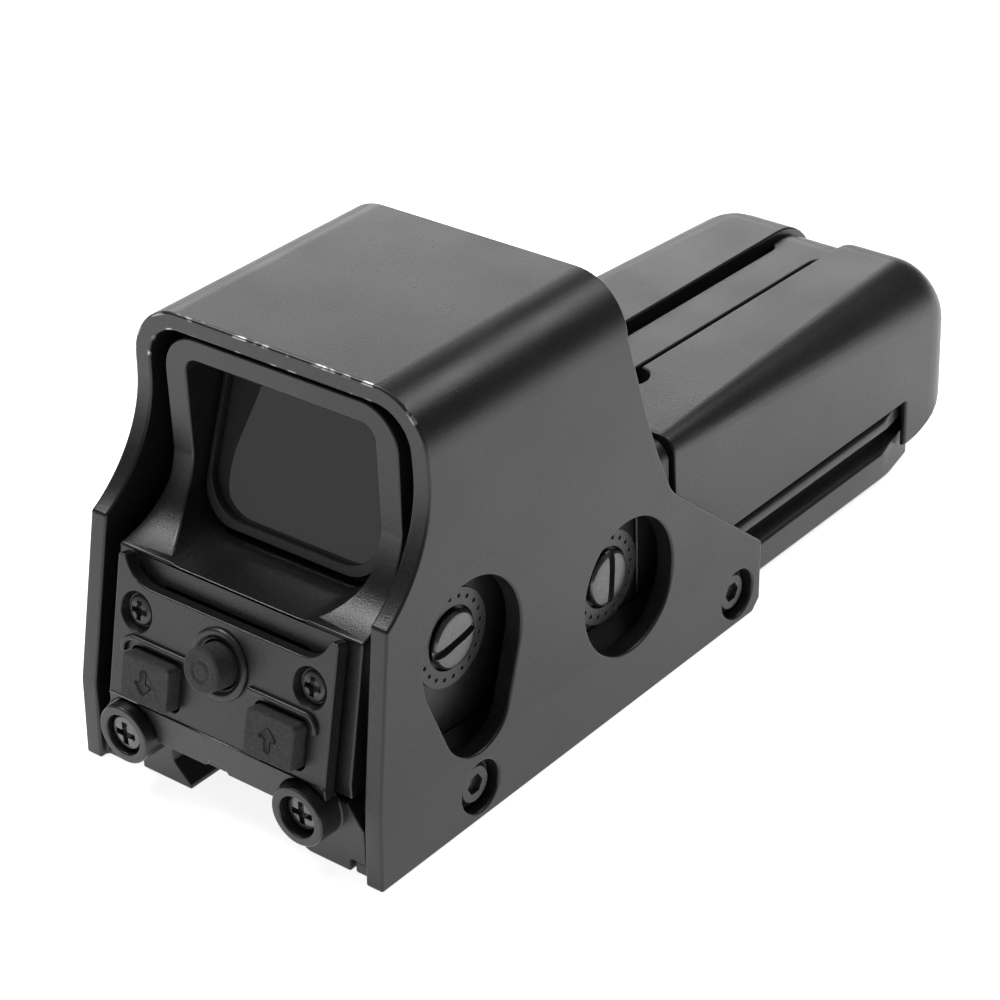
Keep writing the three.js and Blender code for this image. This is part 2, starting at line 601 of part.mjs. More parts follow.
function makeCapSeal() {
  const { halfWidth, floor, top, groove, grooveY: [y0, y1] } = NECK;
  const [outer, inner] = [halfWidth + 0.1, halfWidth - groove + GAP];
  const ring = box(-outer, outer, y0 + 0.2, y1 - 0.2, floor - 0.1, top + 0.1)
    .subtract(box(-inner, inner, y0, y1, floor + groove - GAP, top - groove + GAP));
  return piece('cap_seal', ring, 'rubber');
}

function makeCell(name, side) {
  const { radius, length, nearY, x, z } = CELL;
  const nub = side > 0 ? [nearY + length, nearY + length + 1] : [nearY - 1, nearY];
  const shift = side > 0 ? 0 : 1;
  const can = cylinderY(side * x, z, radius, nearY + shift, nearY + length + shift, 6);
  return piece(name, can.add(cylinderY(side * x, z, 2.6, nub[0] + shift, nub[1] + shift, 3)), 'cell');
}

function makeNearContact(name, side) {
  const { x, z } = CELL;
  return piece(name, box(side * x - 3.5, side * x + 3.5, 69.3, 70.4, z - 3.5, z + 3.5), 'brass');
}

// Two humps with the lever's channel between them, and an end wall that drops behind the base.
function capProfile() {
  const { nearY, farY, top, side, bottom } = CAP;
  const { innerY, topRadius, footRadius } = CAP_END;
  const shape = new THREE.Shape();
  shape.moveTo(nearY, side);
  shape.lineTo(innerY, side);
  shape.lineTo(innerY, bottom);
  shape.lineTo(farY - footRadius, bottom);
  shape.absarc(farY - footRadius, bottom + footRadius, footRadius, -Math.PI / 2, 0, false);
  shape.absarc(farY - topRadius, top - topRadius, topRadius, 0, Math.PI / 2, false);
  shape.lineTo(nearY, top);
  return shape;
}

function makeBatteryCap() {
  const { halfWidth: half, nearY, farY, top, bottom, wall } = CAP;
  const { innerY, nookHalf, roomY, pocketY } = CAP_END;
  const section = roundRect(-half, half, bottom, top, [0, 0, 4.5, 4.5]);
  const plan = roundRect(-half, half, nearY, farY, [0, 0, 7, 7]);
  const outer = sweepX(capProfile(), -half, half, 8)
    .intersect(sweepY(section, nearY, farY, 6))
    .intersect(sweepZ(plan, bottom, top, 6));
  const inner = half - wall;
  const core = CHANNEL.halfWidth + CHANNEL.wall;
  const humpRooms = [-1, 1].map((s) => {
    const [x0, x1] = [s * core, s * inner].sort((a, b) => a - b);
    const far = [s * core, s * 16.5].sort((a, b) => a - b);
    return box(x0, x1, nearY - 1, roomY, 11, 26.5).add(box(far[0], far[1], nearY - 1, pocketY, 11, 29.4))
      .subtract(box(-30, 30, roomY - 1, 140, 24.5, 32));
  });
  const cuts = [
    ...humpRooms,
    box(-core - 0.1, core + 0.1, nearY - 1, innerY - 0.9, 11, CHANNEL.ceiling),
    box(-core - 0.1, core + 0.1, innerY - 1, pocketY, 11, 15.2),
    box(-CHANNEL.halfWidth, CHANNEL.halfWidth, nearY - 1, innerY + 1, CHANNEL.floor, 33),
    box(-CHANNEL.halfWidth, CHANNEL.halfWidth, innerY + 0.5, farY + 1, 16.8, 33),
    box(-RAIL.width / 2 - 0.6, RAIL.width / 2 + 0.6, innerY - 1, farY + 1, 0, RAIL.seatHeight + 0.5),
    box(-nookHalf, nookHalf, innerY - 1, BASE.farY + GAP, 0, BASE.beadTop + GAP),
    cylinderX(LEVER.pivotY, LEVER.pivotZ, 1.5, -6.3, 6.3, 4),
    ...[-1, 1].map((s) => sweepZ(circle(s * 5.05, 77.3, 2.9), 27.4, 33, 5)),
  ];
  return piece('battery_cap', outer.subtract(joined(cuts)), 'anodised');
}

function makeLatchLever() {
  const { halfWidth, heelHalf, top, nearY, pivotY, pivotZ } = LEVER;
  const underside = CHANNEL.floor + 0.4;
  const arm = new THREE.Shape();
  arm.moveTo(nearY, LATCH.ridgeZ + GAP);
  arm.lineTo(nearY + 1.2, LATCH.ridgeZ + GAP);
  arm.lineTo(nearY + 1.6, underside);
  arm.lineTo(127, underside);
  arm.lineTo(127, top);
  arm.lineTo(nearY, top);
  const heel = new THREE.Shape();
  heel.moveTo(124.9, underside);
  heel.lineTo(127.2, 22);
  heel.lineTo(130, 18.6);
  heel.lineTo(136.6, 19.2);
  heel.lineTo(137.7, 21);
  heel.absarc(128.5, 21, 9.2, 0, Math.PI / 2, false);
  heel.lineTo(124.9, top);
  const lever = sweepX(arm, -halfWidth, halfWidth)
    .add(sweepX(heel, -heelHalf, heelHalf, 7))
    .subtract(cylinderX(pivotY, pivotZ, 1.5, -6, 6, 4));
  return piece('latch_lever', lever, 'anodised');
}

function makeBattery() {
  return [
    makeBatteryCarrier(),
    makeCapSeal(),
    makeCell('battery_left', -1),
    makeCell('battery_right', 1),
    makeNearContact('contact_left', -1),
    makeNearContact('contact_right', 1),
    makeBatteryCap(),
    piece('cap_contact', box(-15.5, 15.5, 122.6, 123.4, 15.8, 24.3), 'brass'),
    piece('lever_pin', cylinderX(LEVER.pivotY, LEVER.pivotZ, 1.2, -5.8, 5.8, 4), 'blackSteel'),
    makeLatchLever(),
  ];
}

// ---------------------------------------------------------------- assembly

const sight = new THREE.Group();
sight.name = 'reflex_sight';
sight.position.set(0, -BASE.midY, -RAIL.seatHeight);
sight.add(
  makeMountBase(),
  makeMovableJaw(),
  makeClampStud(),
  makeClampNut(),
  makeHood(),
  makeOpticalHousing(),
  makeRearWindow(),
  ...makeFrontWindow(),
  makeWholePanel(),
  makePanelGroup(),
  ...makeFasteners(),
  makeClickPlate('elevation', ELEVATION, 6.6),
  makeClickPlate('windage', WINDAGE, 6.6),
  makeAdjuster('elevation', ELEVATION, 10.2, false),
  makeAdjuster('windage', WINDAGE, 6.4, true),
  ...makeLightPath(),
  ...makeBattery(),
);

export default sight;
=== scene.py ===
"""Looks for a compact rail-mounted reflex sight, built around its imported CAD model.

Pieces are drawn in working millimetres: x to the user's right, y away from the user's eye,
z up from the hood's bottom edge. y is 0 just behind the hood's near bottom corner.
"""

import json
import math

import bmesh
import bpy
from mathutils import Matrix, Vector


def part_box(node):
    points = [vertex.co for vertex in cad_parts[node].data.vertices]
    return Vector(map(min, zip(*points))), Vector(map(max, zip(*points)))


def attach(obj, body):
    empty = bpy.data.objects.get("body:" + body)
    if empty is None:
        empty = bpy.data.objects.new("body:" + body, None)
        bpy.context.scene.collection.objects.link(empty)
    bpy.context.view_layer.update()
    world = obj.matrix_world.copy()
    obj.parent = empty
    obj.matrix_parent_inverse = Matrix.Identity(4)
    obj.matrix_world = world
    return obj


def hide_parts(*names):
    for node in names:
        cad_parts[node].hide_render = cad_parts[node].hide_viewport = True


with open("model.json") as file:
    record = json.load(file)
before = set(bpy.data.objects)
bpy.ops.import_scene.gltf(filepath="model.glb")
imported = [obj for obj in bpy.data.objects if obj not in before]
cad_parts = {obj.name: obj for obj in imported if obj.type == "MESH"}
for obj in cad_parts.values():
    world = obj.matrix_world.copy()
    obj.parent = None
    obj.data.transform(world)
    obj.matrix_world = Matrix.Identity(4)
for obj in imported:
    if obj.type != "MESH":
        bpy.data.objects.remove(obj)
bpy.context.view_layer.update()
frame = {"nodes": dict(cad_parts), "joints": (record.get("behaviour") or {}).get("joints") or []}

# ---------------------------------------------------------------- working millimetres

MM = 0.001
HOOD_TOE = 0.3  # the hood's near bottom corner stands this far in front of y = 0
hood_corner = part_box("hood")[0]
ORIGIN = Vector((0, hood_corner[1] + HOOD_TOE * MM, hood_corner[2]))
TO_ROW_FRAME = Matrix.Translation(ORIGIN) @ Matrix.Scale(MM, 4)


def span(node):
    """A CAD node's lowest and highest corner in working millimetres."""
    return [(Vector(corner) - ORIGIN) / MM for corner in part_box(node)]


def middle(node):
    low, high = span(node)
    return (low + high) / 2


GAP = 0.3  # clearance between neighbouring pieces
HOOD_HIGH = span("hood")[1]
BASE_LOW, BASE_HIGH = span("mount_base")
CAP_LOW, CAP_HIGH = span("battery_cap")
HOOD = {
    "half": HOOD_HIGH.x - 0.01, "height": HOOD_HIGH.z, "wall": 2.7, "roof": 2.5,
    "waist": 10.8, "draft": 0.039, "radius": 8, "roof_near": 13.84, "roof_far": 52.7,
    "lip_inner": 19.9, "lip_top": 1.9,
}
RAIL_ROOF = -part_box("hood")[0][2] / MM  # height of the rail seat, the row frame's origin
RAIL = {"top_half": 7.85, "half": 10.6, "roof": RAIL_ROOF, "foot": BASE_LOW.z}
BASE = {
    "near": 0.5, "split": HOOD_HIGH.y + 0.4, "far": BASE_HIGH.y,
    "half": 20.8, "deck": 10.5, "deck_half": 19.8, "shoulder": 7.3, "left_wall": 20.6,
}
BASE_CORNER = {"near_x": 20.9, "near_y": 117.6, "far_x": 18.75}  # planed off at the far end
BOSS = {"radius": 4.1, "recess": 2.8, "thread": 1.7}
JAW = {"near_outer": 16.6, "step": 81.8}  # the near part is narrower, to open beside the hood's lip
STUD = {"radius": 2.5, "root": 2.25, "hole": 2.9}
HOOD_SCREW = {"seat": 3.57, "hole": 1.8, "head": 2.75, "shank": 1.4, "seat_x": 23.2, "head_x": 24.4}
ADJUSTER = {"plate": 6.6, "bore": 4.3, "dimples": 5.5, "shank": 2.4}
HOUSING = {"half": 20.2, "frame_half": 18.9, "tunnel_half": 15.3, "floor": 31, "roof": 54.5}
PANEL = {"half": 18.2, "bend_y": -1.55, "bend_z": 12.9, "height": 19, "thickness": 1.9}
PANEL_SCREW = {"x": 14.46, "z": 12.2}
WINDOW = {"y": 13.9, "z": 32.3, "tilt": 0.35, "height": 23.2, "half": 15}
CHANNEL = {"half": 5.05, "floor": 27, "core": 5.95, "ceiling": 25.8}
LEVER_HALF = {"arm": 3.45, "heel": 4.7}
LATCH = {"half": 4.2, "near": 61, "floor": 26.2, "ridge": 64.9, "ridge_floor": 26.5}
CAP_END = {"inner": 124.3, "nook_half": 19.85, "bead_room": 11.3, "top": 10, "foot": 13, "side": 7}
PIN_HOLE = 1.5

press_axis = next(joint["axis"] for joint in frame["joints"] if joint["name"] == "mode_press")
LEAN = math.atan2(-press_axis[2], press_axis[1])  # how far the button panel leans back
PANEL_FRAME = Matrix.Translation((0, PANEL["bend_y"], PANEL["bend_z"])) @ Matrix.Rotation(-LEAN, 4, "X")
WINDOW_FRAME = Matrix.Translation((0, WINDOW["y"], WINDOW["z"])) @ Matrix.Rotation(-WINDOW["tilt"], 4, "X")

# ---------------------------------------------------------------- outlines


def arc(u, v, radius, start, end, steps=10):
    """Points along an arc, from one angle in degrees to another."""
    angles = [math.radians(start + (end - start) * i / steps) for i in range(steps + 1)]
    return [(u + radius * math.cos(a), v + radius * math.sin(a)) for a in angles]


def circle(u, v, radius, steps=56):
    return arc(u, v, radius, 0, 360 - 360 / steps, steps - 1)


def bezier(a, b, c, d, steps):
    """Points along a cubic curve from a to d, drawn towards b and c."""
    points = []
    for i in range(steps + 1):
        t = i / steps
        weights = ((1 - t) ** 3, 3 * t * (1 - t) ** 2, 3 * t * t * (1 - t), t**3)
        points.append(tuple(sum(w * p[k] for w, p in zip(weights, (a, b, c, d))) for k in (0, 1)))
    return points


def round_rect(u0, u1, v0, v1, radii, steps=8):
    """A rectangle with its own corner radii: bottom left, bottom right, top right, top left."""
    corners = ((u0, v0, 1, 1, 180), (u1, v0, -1, 1, 270), (u1, v1, -1, -1, 0), (u0, v1, 1, -1, 90))
    points = []
    for (u, v, du, dv, start), radius in zip(corners, radii):
        if radius:
            points += arc(u + du * radius, v + dv * radius, radius, start, start + 90, steps)
        else:
            points.append((u, v))
    return points


def mirrored(points):
    return [(-u, v) for u, v in reversed(points)]


# ---------------------------------------------------------------- solids

PLACE = {  # the point that an outline's u and v make at a place t along each axis
    "X": lambda u, v, t: (t, u, v),
    "Y": lambda u, v, t: (u, t, v),
    "Z": lambda u, v, t: (u, v, t),
}


def lofted(rings):
    """A closed solid through rings of points, all with the same number of points."""
    bm = bmesh.new()
    loops = [[bm.verts.new(point) for point in ring] for ring in rings]
    bm.faces.new(loops[0])
    bm.faces.new(loops[-1])
    for near, far in zip(loops, loops[1:]):
        for i in range(len(near)):
            bm.faces.new((near[i - 1], near[i], far[i], far[i - 1]))
    bmesh.ops.recalc_face_normals(bm, faces=bm.faces)
    mesh = bpy.data.meshes.new("solid")
    bm.to_mesh(mesh)
    bm.free()
    obj = bpy.data.objects.new("solid", mesh)
    bpy.context.collection.objects.link(obj)
    return obj


def prism(axis, outline, start, end):
    """An outline swept along an axis."""
    return lofted([[PLACE[axis](u, v, t) for u, v in outline] for t in (start, end)])


def rod(axis, u, v, radius, start, end, steps=56):
    return prism(axis, circle(u, v, radius, steps), start, end)


def turned(axis, u, v, profile, steps=56):
    """A profile of (radius, place along the axis) points, spun about the axis."""
    rings = []
    for radius, t in profile:
        rings.append([PLACE[axis](a, b, t) for a, b in circle(u, v, max(radius, 0.02), steps)])
    return lofted(rings)


def block(x0, x1, y0, y1, z0, z1):
    return prism("Z", [(x0, y0), (x1, y0), (x1, y1), (x0, y1)], z0, z1)


def sided(side, inner, outer):
    """From inner to outer on one side of the middle, lowest first."""
    return sorted((side * inner, side * outer))


def bake(obj):
    """Turns an object's modifiers into its mesh."""
    bpy.context.view_layer.update()
    graph = bpy.context.evaluated_depsgraph_get()
    mesh = bpy.data.meshes.new_from_object(obj.evaluated_get(graph))
    obj.modifiers.clear()
    obj.data = mesh


def combined(operation, base, tools):
    for tool in tools:
        modifier = base.modifiers.new("combine", "BOOLEAN")
        modifier.operation = operation
        modifier.solver = "EXACT"
        modifier.object = tool
    bake(base)
    for tool in tools:
        bpy.data.objects.remove(tool)
    return base


def joined(base, *tools):
    return combined("UNION", base, tools)


def cut(base, *tools):
    return combined("DIFFERENCE", base, tools)


def common(base, *tools):
    return combined("INTERSECT", base, tools)


def moved(obj, matrix):
    obj.data.transform(matrix)
    return obj


def cleaned(obj):
    """Joins coincident points and drops the lines that cuts leave on flat faces."""
    bm = bmesh.new()
    bm.from_mesh(obj.data)
    bmesh.ops.remove_doubles(bm, verts=bm.verts, dist=0.002)
    bmesh.ops.dissolve_limit(bm, angle_limit=math.radians(0.6), verts=bm.verts, edges=bm.edges)
    bm.to_mesh(obj.data)
    bm.free()


SHARP = math.radians(32)


def piece(solid, name, body, nodes, looks, rounding, steps=3):
    """Rounds a solid's edges, gives it its looks, moves it into the row frame, hangs it on its body and
    hides the CAD nodes it replaces.
    """
    cleaned(solid)
    for look in looks:
        solid.data.materials.append(look)
    if rounding:
        bevel = solid.modifiers.new("bevel", "BEVEL")
        bevel.width = rounding
        bevel.segments = steps
        bevel.limit_method = "ANGLE"
        bevel.angle_limit = SHARP
        bevel.use_clamp_overlap = False
        bevel.miter_outer = "MITER_ARC"
        bevel.material = len(looks) - 1
        bake(solid)
    solid.data.shade_smooth()
    solid.data.set_sharp_from_angle(angle=SHARP)
    weighted = solid.modifiers.new("weighted", "WEIGHTED_NORMAL")
    weighted.keep_sharp = True
    bake(solid)
    moved(solid, TO_ROW_FRAME)
    solid.name = name
    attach(solid, body)
    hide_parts(*nodes)


# ---------------------------------------------------------------- materials


def new_look(name, colour, roughness, metallic=0.0):
    material = bpy.data.materials.new(name)
    material.use_nodes = True
    tree = material.node_tree
    shader = tree.nodes["Principled BSDF"]
    shader.inputs["Base Color"].default_value = (*colour, 1)
    shader.inputs["Roughness"].default_value = roughness
    shader.inputs["Metallic"].default_value = metallic
    return material, tree, shader


def noise(tree, scale, detail):
    """Noise fixed to the piece, with its scale in cells per metre."""
    where = tree.nodes.new("ShaderNodeTexCoord")
    texture = tree.nodes.new("ShaderNodeTexNoise")
    texture.inputs["Scale"].default_value = scale
    texture.inputs["Detail"].default_value = detail
    tree.links.new(where.outputs["Object"], texture.inputs["Vector"])
    return texture.outputs["Fac"]


def ranged(tree, source, low, high, start=0.3, end=0.7):
    """A value from low to high as the source goes from start to end."""
    node = tree.nodes.new("ShaderNodeMapRange")
    for socket, value in (("From Min", start), ("From Max", end), ("To Min", low), ("To Max", high)):
        node.inputs[socket].default_value = value
    tree.links.new(source, node.inputs["Value"])
    return node.outputs["Result"]


def mixed_colour(tree, factor, first, second):
    node = tree.nodes.new("ShaderNodeMix")
    node.data_type = "RGBA"
    node.inputs["A"].default_value = (*first, 1)
    node.inputs["B"].default_value = (*second, 1)
    tree.links.new(factor, node.inputs["Factor"])
    return node.outputs["Result"]


def painted_over(tree, factor, under, colour):
    """A plain colour laid over another socket's colour where the factor says."""
    node = tree.nodes.new("ShaderNodeMix")
    node.data_type = "RGBA"
    node.inputs["B"].default_value = (*colour, 1)
    tree.links.new(under, node.inputs["A"])
    tree.links.new(factor, node.inputs["Factor"])
    return node.outputs["Result"]


def add_grain(tree, shader, scale, strength):
    bump = tree.nodes.new("ShaderNodeBump")
    bump.inputs["Strength"].default_value = strength
    bump.inputs["Distance"].default_value = 0.00005
    tree.links.new(noise(tree, scale, 3), bump.inputs["Height"])
    tree.links.new(bump.outputs["Normal"], shader.inputs["Normal"])


def tinted(colour, factor):
    return tuple(min(1, c * factor) for c in colour)


def finish_look(name, colour, roughness, metallic=0.0, *, grain, dust=None, mottle=0.4):
    """A finish with fine grain, handling marks in its gloss, and dust specks if asked."""
    material, tree, shader = new_look(name, colour, roughness, metallic)
    add_grain(tree, shader, *grain)
    handling = noise(tree, 90, 4)
    tree.links.new(ranged(tree, handling, roughness * 0.88, roughness * 1.14), shader.inputs["Roughness"])
    shade = ranged(tree, noise(tree, 2400, 4), 0, 1)
    tone = mixed_colour(tree, shade, tinted(colour, 1 - mottle), tinted(colour, 1 + mottle))
    if dust:
        speck_scale, amount, dust_colour = dust
        specks = ranged(tree, noise(tree, speck_scale, 2), 0, 1, 0.74 - amount, 0.8 - amount)
        tone = painted_over(tree, specks, tone, dust_colour)
    tree.links.new(tone, shader.inputs["Base Color"])
    return material


def product(tree, first, second):
    node = tree.nodes.new("ShaderNodeMath")
    node.operation = "MULTIPLY"
    tree.links.new(first, node.inputs[0])
    tree.links.new(second, node.inputs[1])
    return node.outputs["Value"]


def place_on_piece(tree):
    """The point's own coordinates, as separate x, y and z outputs."""
    where = tree.nodes.new("ShaderNodeTexCoord")
    parts = tree.nodes.new("ShaderNodeSeparateXYZ")
    tree.links.new(where.outputs["Object"], parts.inputs["Vector"])
    return parts.outputs


def worn_edge_look(name, colour, bare, threshold, worn_above=None, worn_before=None):
    """Black finish rubbed through to bare metal, only above a height and before a depth if given."""
    material, tree, shader = new_look(name, colour, 0.3)
    add_grain(tree, shader, 6000, 0.25)
    worn = ranged(tree, noise(tree, 420, 6), 0, 1, threshold, threshold + 0.09)
    place = place_on_piece(tree)
    if worn_above is not None:
        worn = product(tree, worn, ranged(tree, place["Z"], 0, 1, worn_above, worn_above + 0.004))
    if worn_before is not None:
        worn = product(tree, worn, ranged(tree, place["Y"], 1, 0, worn_before, worn_before + 0.004))
    tree.links.new(mixed_colour(tree, worn, colour, bare), shader.inputs["Base Color"])
    tree.links.new(ranged(tree, worn, 0, 0.85, 0, 1), shader.inputs["Metallic"])
    return material


def glass_look(name, colour, clearness):
    """Coated glass with faint smears; the less clear it is, the more of its own dark tone shows."""
    material, tree, shader = new_look(name, colour, 0.02)
    shader.inputs["Transmission Weight"].default_value = clearness
    shader.inputs["IOR"].default_value = 1.52
    smears = noise(tree, 70, 5)
    tree.links.new(ranged(tree, smears, 0.015, 0.05), shader.inputs["Roughness"])
    return material


def cell_look():
    """A printed sleeve: blue, with a dark band over the far end of the cell."""
    material, tree, shader = new_look("cell_wrap", (0.1, 0.18, 0.32), 0.3, 0.4)
    shade = ranged(tree, noise(tree, 500, 3), 0, 1)
    sleeve = mixed_colour(tree, shade, (0.08, 0.15, 0.28), (0.12, 0.2, 0.35))
    band_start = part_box("battery_right")[1][1] - 0.014
    band = ranged(tree, place_on_piece(tree)["Y"], 0, 1, band_start, band_start + 0.0002)
    printed = painted_over(tree, band, sleeve, (0.03, 0.03, 0.032))
    tree.links.new(printed, shader.inputs["Base Color"])
    add_grain(tree, shader, 3000, 0.1)
    return material


BLACK = (0.011, 0.011, 0.0115)
HOOD_GLINTS_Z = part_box("hood")[1][2] - 0.011  # the handled part of the near edge: its top
HOOD_GLINTS_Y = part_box("hood")[0][1] + 0.016
BARE = (0.42, 0.42, 0.43)

hood_black = finish_look("hood_black", BLACK, 0.31, grain=(5200, 0.55))
body_black = finish_look("body_black", BLACK, 0.33, grain=(5200, 0.6))
cap_black = finish_look("cap_black", (0.014, 0.014, 0.0145), 0.31, grain=(5000, 0.6))
hood_edge = worn_edge_look("hood_edge", BLACK, BARE, 0.54, HOOD_GLINTS_Z, HOOD_GLINTS_Y)
body_edge = worn_edge_look("body_edge", BLACK, (0.3, 0.3, 0.31), 0.7)
plastic_black = finish_look("plastic_black", (0.015, 0.015, 0.016), 0.5, grain=(3500, 0.3))
rubber_black = finish_look(
    "rubber_black", (0.03, 0.03, 0.03), 0.75, grain=(3000, 0.8), dust=(3200, 0.03, (0.13, 0.13, 0.13))
)
steel_black = finish_look("steel_black", (0.05, 0.05, 0.051), 0.26, 0.4, grain=(4000, 0.2), mottle=0.12)
# A lighter copy of the black steel for the boss and coin screws: painted light on their heads.
steel_painted_light = finish_look("steel_painted_light", (0.13, 0.13, 0.133), 0.28, 0.9, grain=(3000, 0.15), mottle=0.12)
steel_bare = finish_look("steel_bare", (0.6, 0.6, 0.61), 0.3, 1.0, grain=(5000, 0.2), mottle=0.12)
brass_plain = finish_look("brass_plain", (0.55, 0.38, 0.14), 0.32, 1.0, grain=(4000, 0.2))
board_green = finish_look("board_green", (0.02, 0.09, 0.035), 0.45, grain=(2500, 0.3))
glass = glass_look("coated_glass", (0.86, 0.88, 0.88), 1)
mirror_glass = glass_look("mirror_glass", (0.045, 0.046, 0.047), 0.2)
cell_sleeve = cell_look()

BODY_LOOKS = [body_black, body_edge]
CAP_LOOKS = [cap_black, body_edge]
CARRIED_LOOKS = {
    "moulded": plastic_black,
    "rubber": rubber_black,
    "black_steel": steel_black,
    "bare_steel": steel_bare,
    "brass": brass_plain,
    "coated_glass": glass,
    "circuit_board": board_green,
}

# ---------------------------------------------------------------- hood


def hood_section(half, height, radius):
    """An upside-down U with straight sides up to the waist and drafted sides above it."""
    shoulder = half - HOOD["draft"] * (height - radius - HOOD["waist"])
    right = [(half, -1), (half, HOOD["waist"])]
    right += arc(shoulder - radius, height - radius, radius, 0, 90, 14)
    return right + mirrored(right)


def hood_profile():
    """Seen from the side: the near edge leans back, sweeps up in an S, and the far edge steps down."""
    height, roof_near, roof_far = HOOD["height"], HOOD["roof_near"], HOOD["roof_far"]
    near = [(-HOOD_TOE, 0), (0.25, 11.2), (4.4, 34.6)]
    near += bezier((4.6, 34.7), (8.8, 37.3), (roof_near, 43), (roof_near, 50.5), 20)
    far = [(roof_near, height), (roof_far, height)]
    far += bezier((roof_far, 52.6), (54.6, 45.5), (56.6, 36), (60.2, 28), 16)
    far += bezier((60.2, 28), (60.8, 26.9), (61.6, 26.3), (62.8, 25.3), 5)
    return near + far + [(HOOD_HIGH.y, 10.5), (79.9, 1.5), (78.2, 0)]


def teardrop(y, upper_z, upper_radius, lower_z, lower_radius):
    """The outline of two circles, one above the other, and their common tangents."""
    lean = math.degrees(math.asin((lower_radius - upper_radius) / (upper_z - lower_z)))
    upper = arc(y, upper_z, upper_radius, lean, 180 - lean, 32)
    return upper + arc(y, lower_z, lower_radius, 180 - lean, 360 + lean, 24)


def hood_holes():
    """Two windows onto the adjusters in the right wall, and a stepped hole for each hood screw."""
    elevation, windage = middle("elevation_screw"), middle("windage_screw")
    holes = [
        prism("X", teardrop(elevation.y - 0.35, elevation.z, 9.3, 16.2, 6.3), 15, 27),
        prism("X", circle(windage.y, windage.z, 9.4, 72), 15, 27),
    ]
    for place in ("near", "far"):
        seat = middle(f"hood_screw_{place}_right")
        for side in (-1, 1):
            span_x = sided(side, HOOD_SCREW["seat_x"], 27)
            holes.append(rod("X", seat.y, seat.z, HOOD_SCREW["seat"], *span_x))
            holes.append(rod("X", seat.y, seat.z, HOOD_SCREW["hole"], *sided(side, 19, 27)))
    return holes


def make_hood():
    half, height, radius = HOOD["half"], HOOD["height"], HOOD["radius"]
    inner = half - HOOD["wall"]
    shell = prism("Y", hood_section(half, height, radius), -1, 81)
    room = prism("Y", hood_section(inner, height - HOOD["roof"], radius - HOOD["wall"]), -2, 82)
    cut(shell, room)
    for side in (-1, 1):
        x0, x1 = sided(side, HOOD["lip_inner"], inner + 0.5)
        joined(shell, block(x0, x1, 1, 77, 0, HOOD["lip_top"]))
    common(shell, prism("X", hood_profile(), -27, 27))
    cut(shell, *hood_holes())
    piece(shell, "hood_shell", "sight_body", ["hood"], [hood_black, hood_edge], 0.38)


# ---------------------------------------------------------------- rail clamp

CORNER_Z = RAIL["roof"] - (RAIL["half"] - RAIL["top_half"])
GROOVE = RAIL["half"] + 0.15
TOOTH = RAIL["top_half"] + 0.15
TOOTH_Z = CORNER_Z - (GROOVE - TOOTH)
RELIEF_Z = RAIL["roof"] + 0.4


def fixed_jaw_section():
    land, roof, foot = RAIL["top_half"], RAIL["roof"], RAIL["foot"]
    jaw = [(TOOTH, foot), (TOOTH, TOOTH_Z), (GROOVE, CORNER_Z), (GROOVE, RELIEF_Z)]
    return jaw + [(land, RELIEF_Z), (land, roof), (-land, roof), (-land, RELIEF_Z)]


def near_base_section():
    """Under the hood: the sides step over the hood's lips, and the left one clears the open jaw."""
    flange = HOOD["half"] - HOOD["wall"] - 0.4
    over_lip, shoulder, deck = HOOD["lip_top"] + GAP, BASE["shoulder"], BASE["deck"]
    wall, foot_half = BASE["left_wall"], HOOD["lip_inner"] - GAP
    left = [(-wall, RELIEF_Z), (-wall, over_lip), (-flange, over_lip), (-flange, shoulder)]
    right = [(flange, shoulder), (flange, over_lip), (foot_half, over_lip), (foot_half, RAIL["foot"])]
    deck_edges = [(-BASE["deck_half"], deck), (BASE["deck_half"], deck)]
    return fixed_jaw_section() + left + deck_edges + right


def bead_and_groove():
    """The side past the hood, downwards: a rounded bead, a hollow groove and the lower face's top."""
    bead = bezier((18.6, 10.7), (20.2, 10.9), (21.1, 10.2), (20.5, 8.7), 8)
    hollow = bezier((20.3, 8.4), (17.2, 7.9), (17, 6), (20.1, 5.5), 8)
    return bead + hollow + [(BASE["half"], 5.1)]


def far_base_section():
    """Past the hood. The left side ends at the groove's deepest point, above the movable jaw."""
    side = bead_and_groove()
    deepest = 14  # how many points lead down to the groove's deepest one
    jaw_room = 18.3
    foot = [(BASE["half"], 1), (20.1, RAIL["foot"])]
    left = [(-jaw_room, RELIEF_Z), (-jaw_room, 7)] + mirrored(side[:deepest])
    return fixed_jaw_section() + left + [(0, BASE["deck"])] + side + foot


def corner_trim(side):
    """The wedge planed off a far corner."""
    near_x, near_y, far_x = (BASE_CORNER[key] for key in ("near_x", "near_y", "far_x"))
    out_x, far_y = 22, BASE["far"] + 0.1
    points = ((near_x, near_y), (far_x, far_y), (out_x, far_y), (out_x, near_y))
    return prism("Z", [(side * x, y) for x, y in points], -1, 12)


def near_toe_trim():
    """What is cut from the near end of the fixed tooth, which leaves a foot with a rounded toe."""
    cheek, toe = 11.4, 13.4
    inner = [(RAIL["top_half"], RELIEF_Z), (RAIL["top_half"], -1), (toe, -1)]
    outline = inner + bezier((toe, 0.3), (12.2, 0.3), (cheek, 0.9), (cheek, 2.3), 8) + [(cheek, RELIEF_Z)]
    return prism("Y", outline, -1, 3)


def base_holes():
    bosses = [middle("base_screw_left"), middle("base_screw_right")]
    stud = middle("clamp_stud")
    holes = [rod("Y", b.x, b.z, BOSS["recess"], BASE_LOW.y - 1, 1.2) for b in bosses]
    holes += [rod("Y", b.x, b.z, BOSS["thread"], 0, 7, 24) for b in bosses]
    holes += [rod("X", stud.y, stud.z, STUD["hole"], -25, 15.8, 32)]
    for place in ("near", "far"):
        seat = middle(f"hood_screw_{place}_right")
        for x0, x1 in ((16.6, 24), (-24, -20)):
            holes.append(rod("X", seat.y, seat.z, HOOD_SCREW["hole"] - 0.05, x0, x1, 24))
    return holes


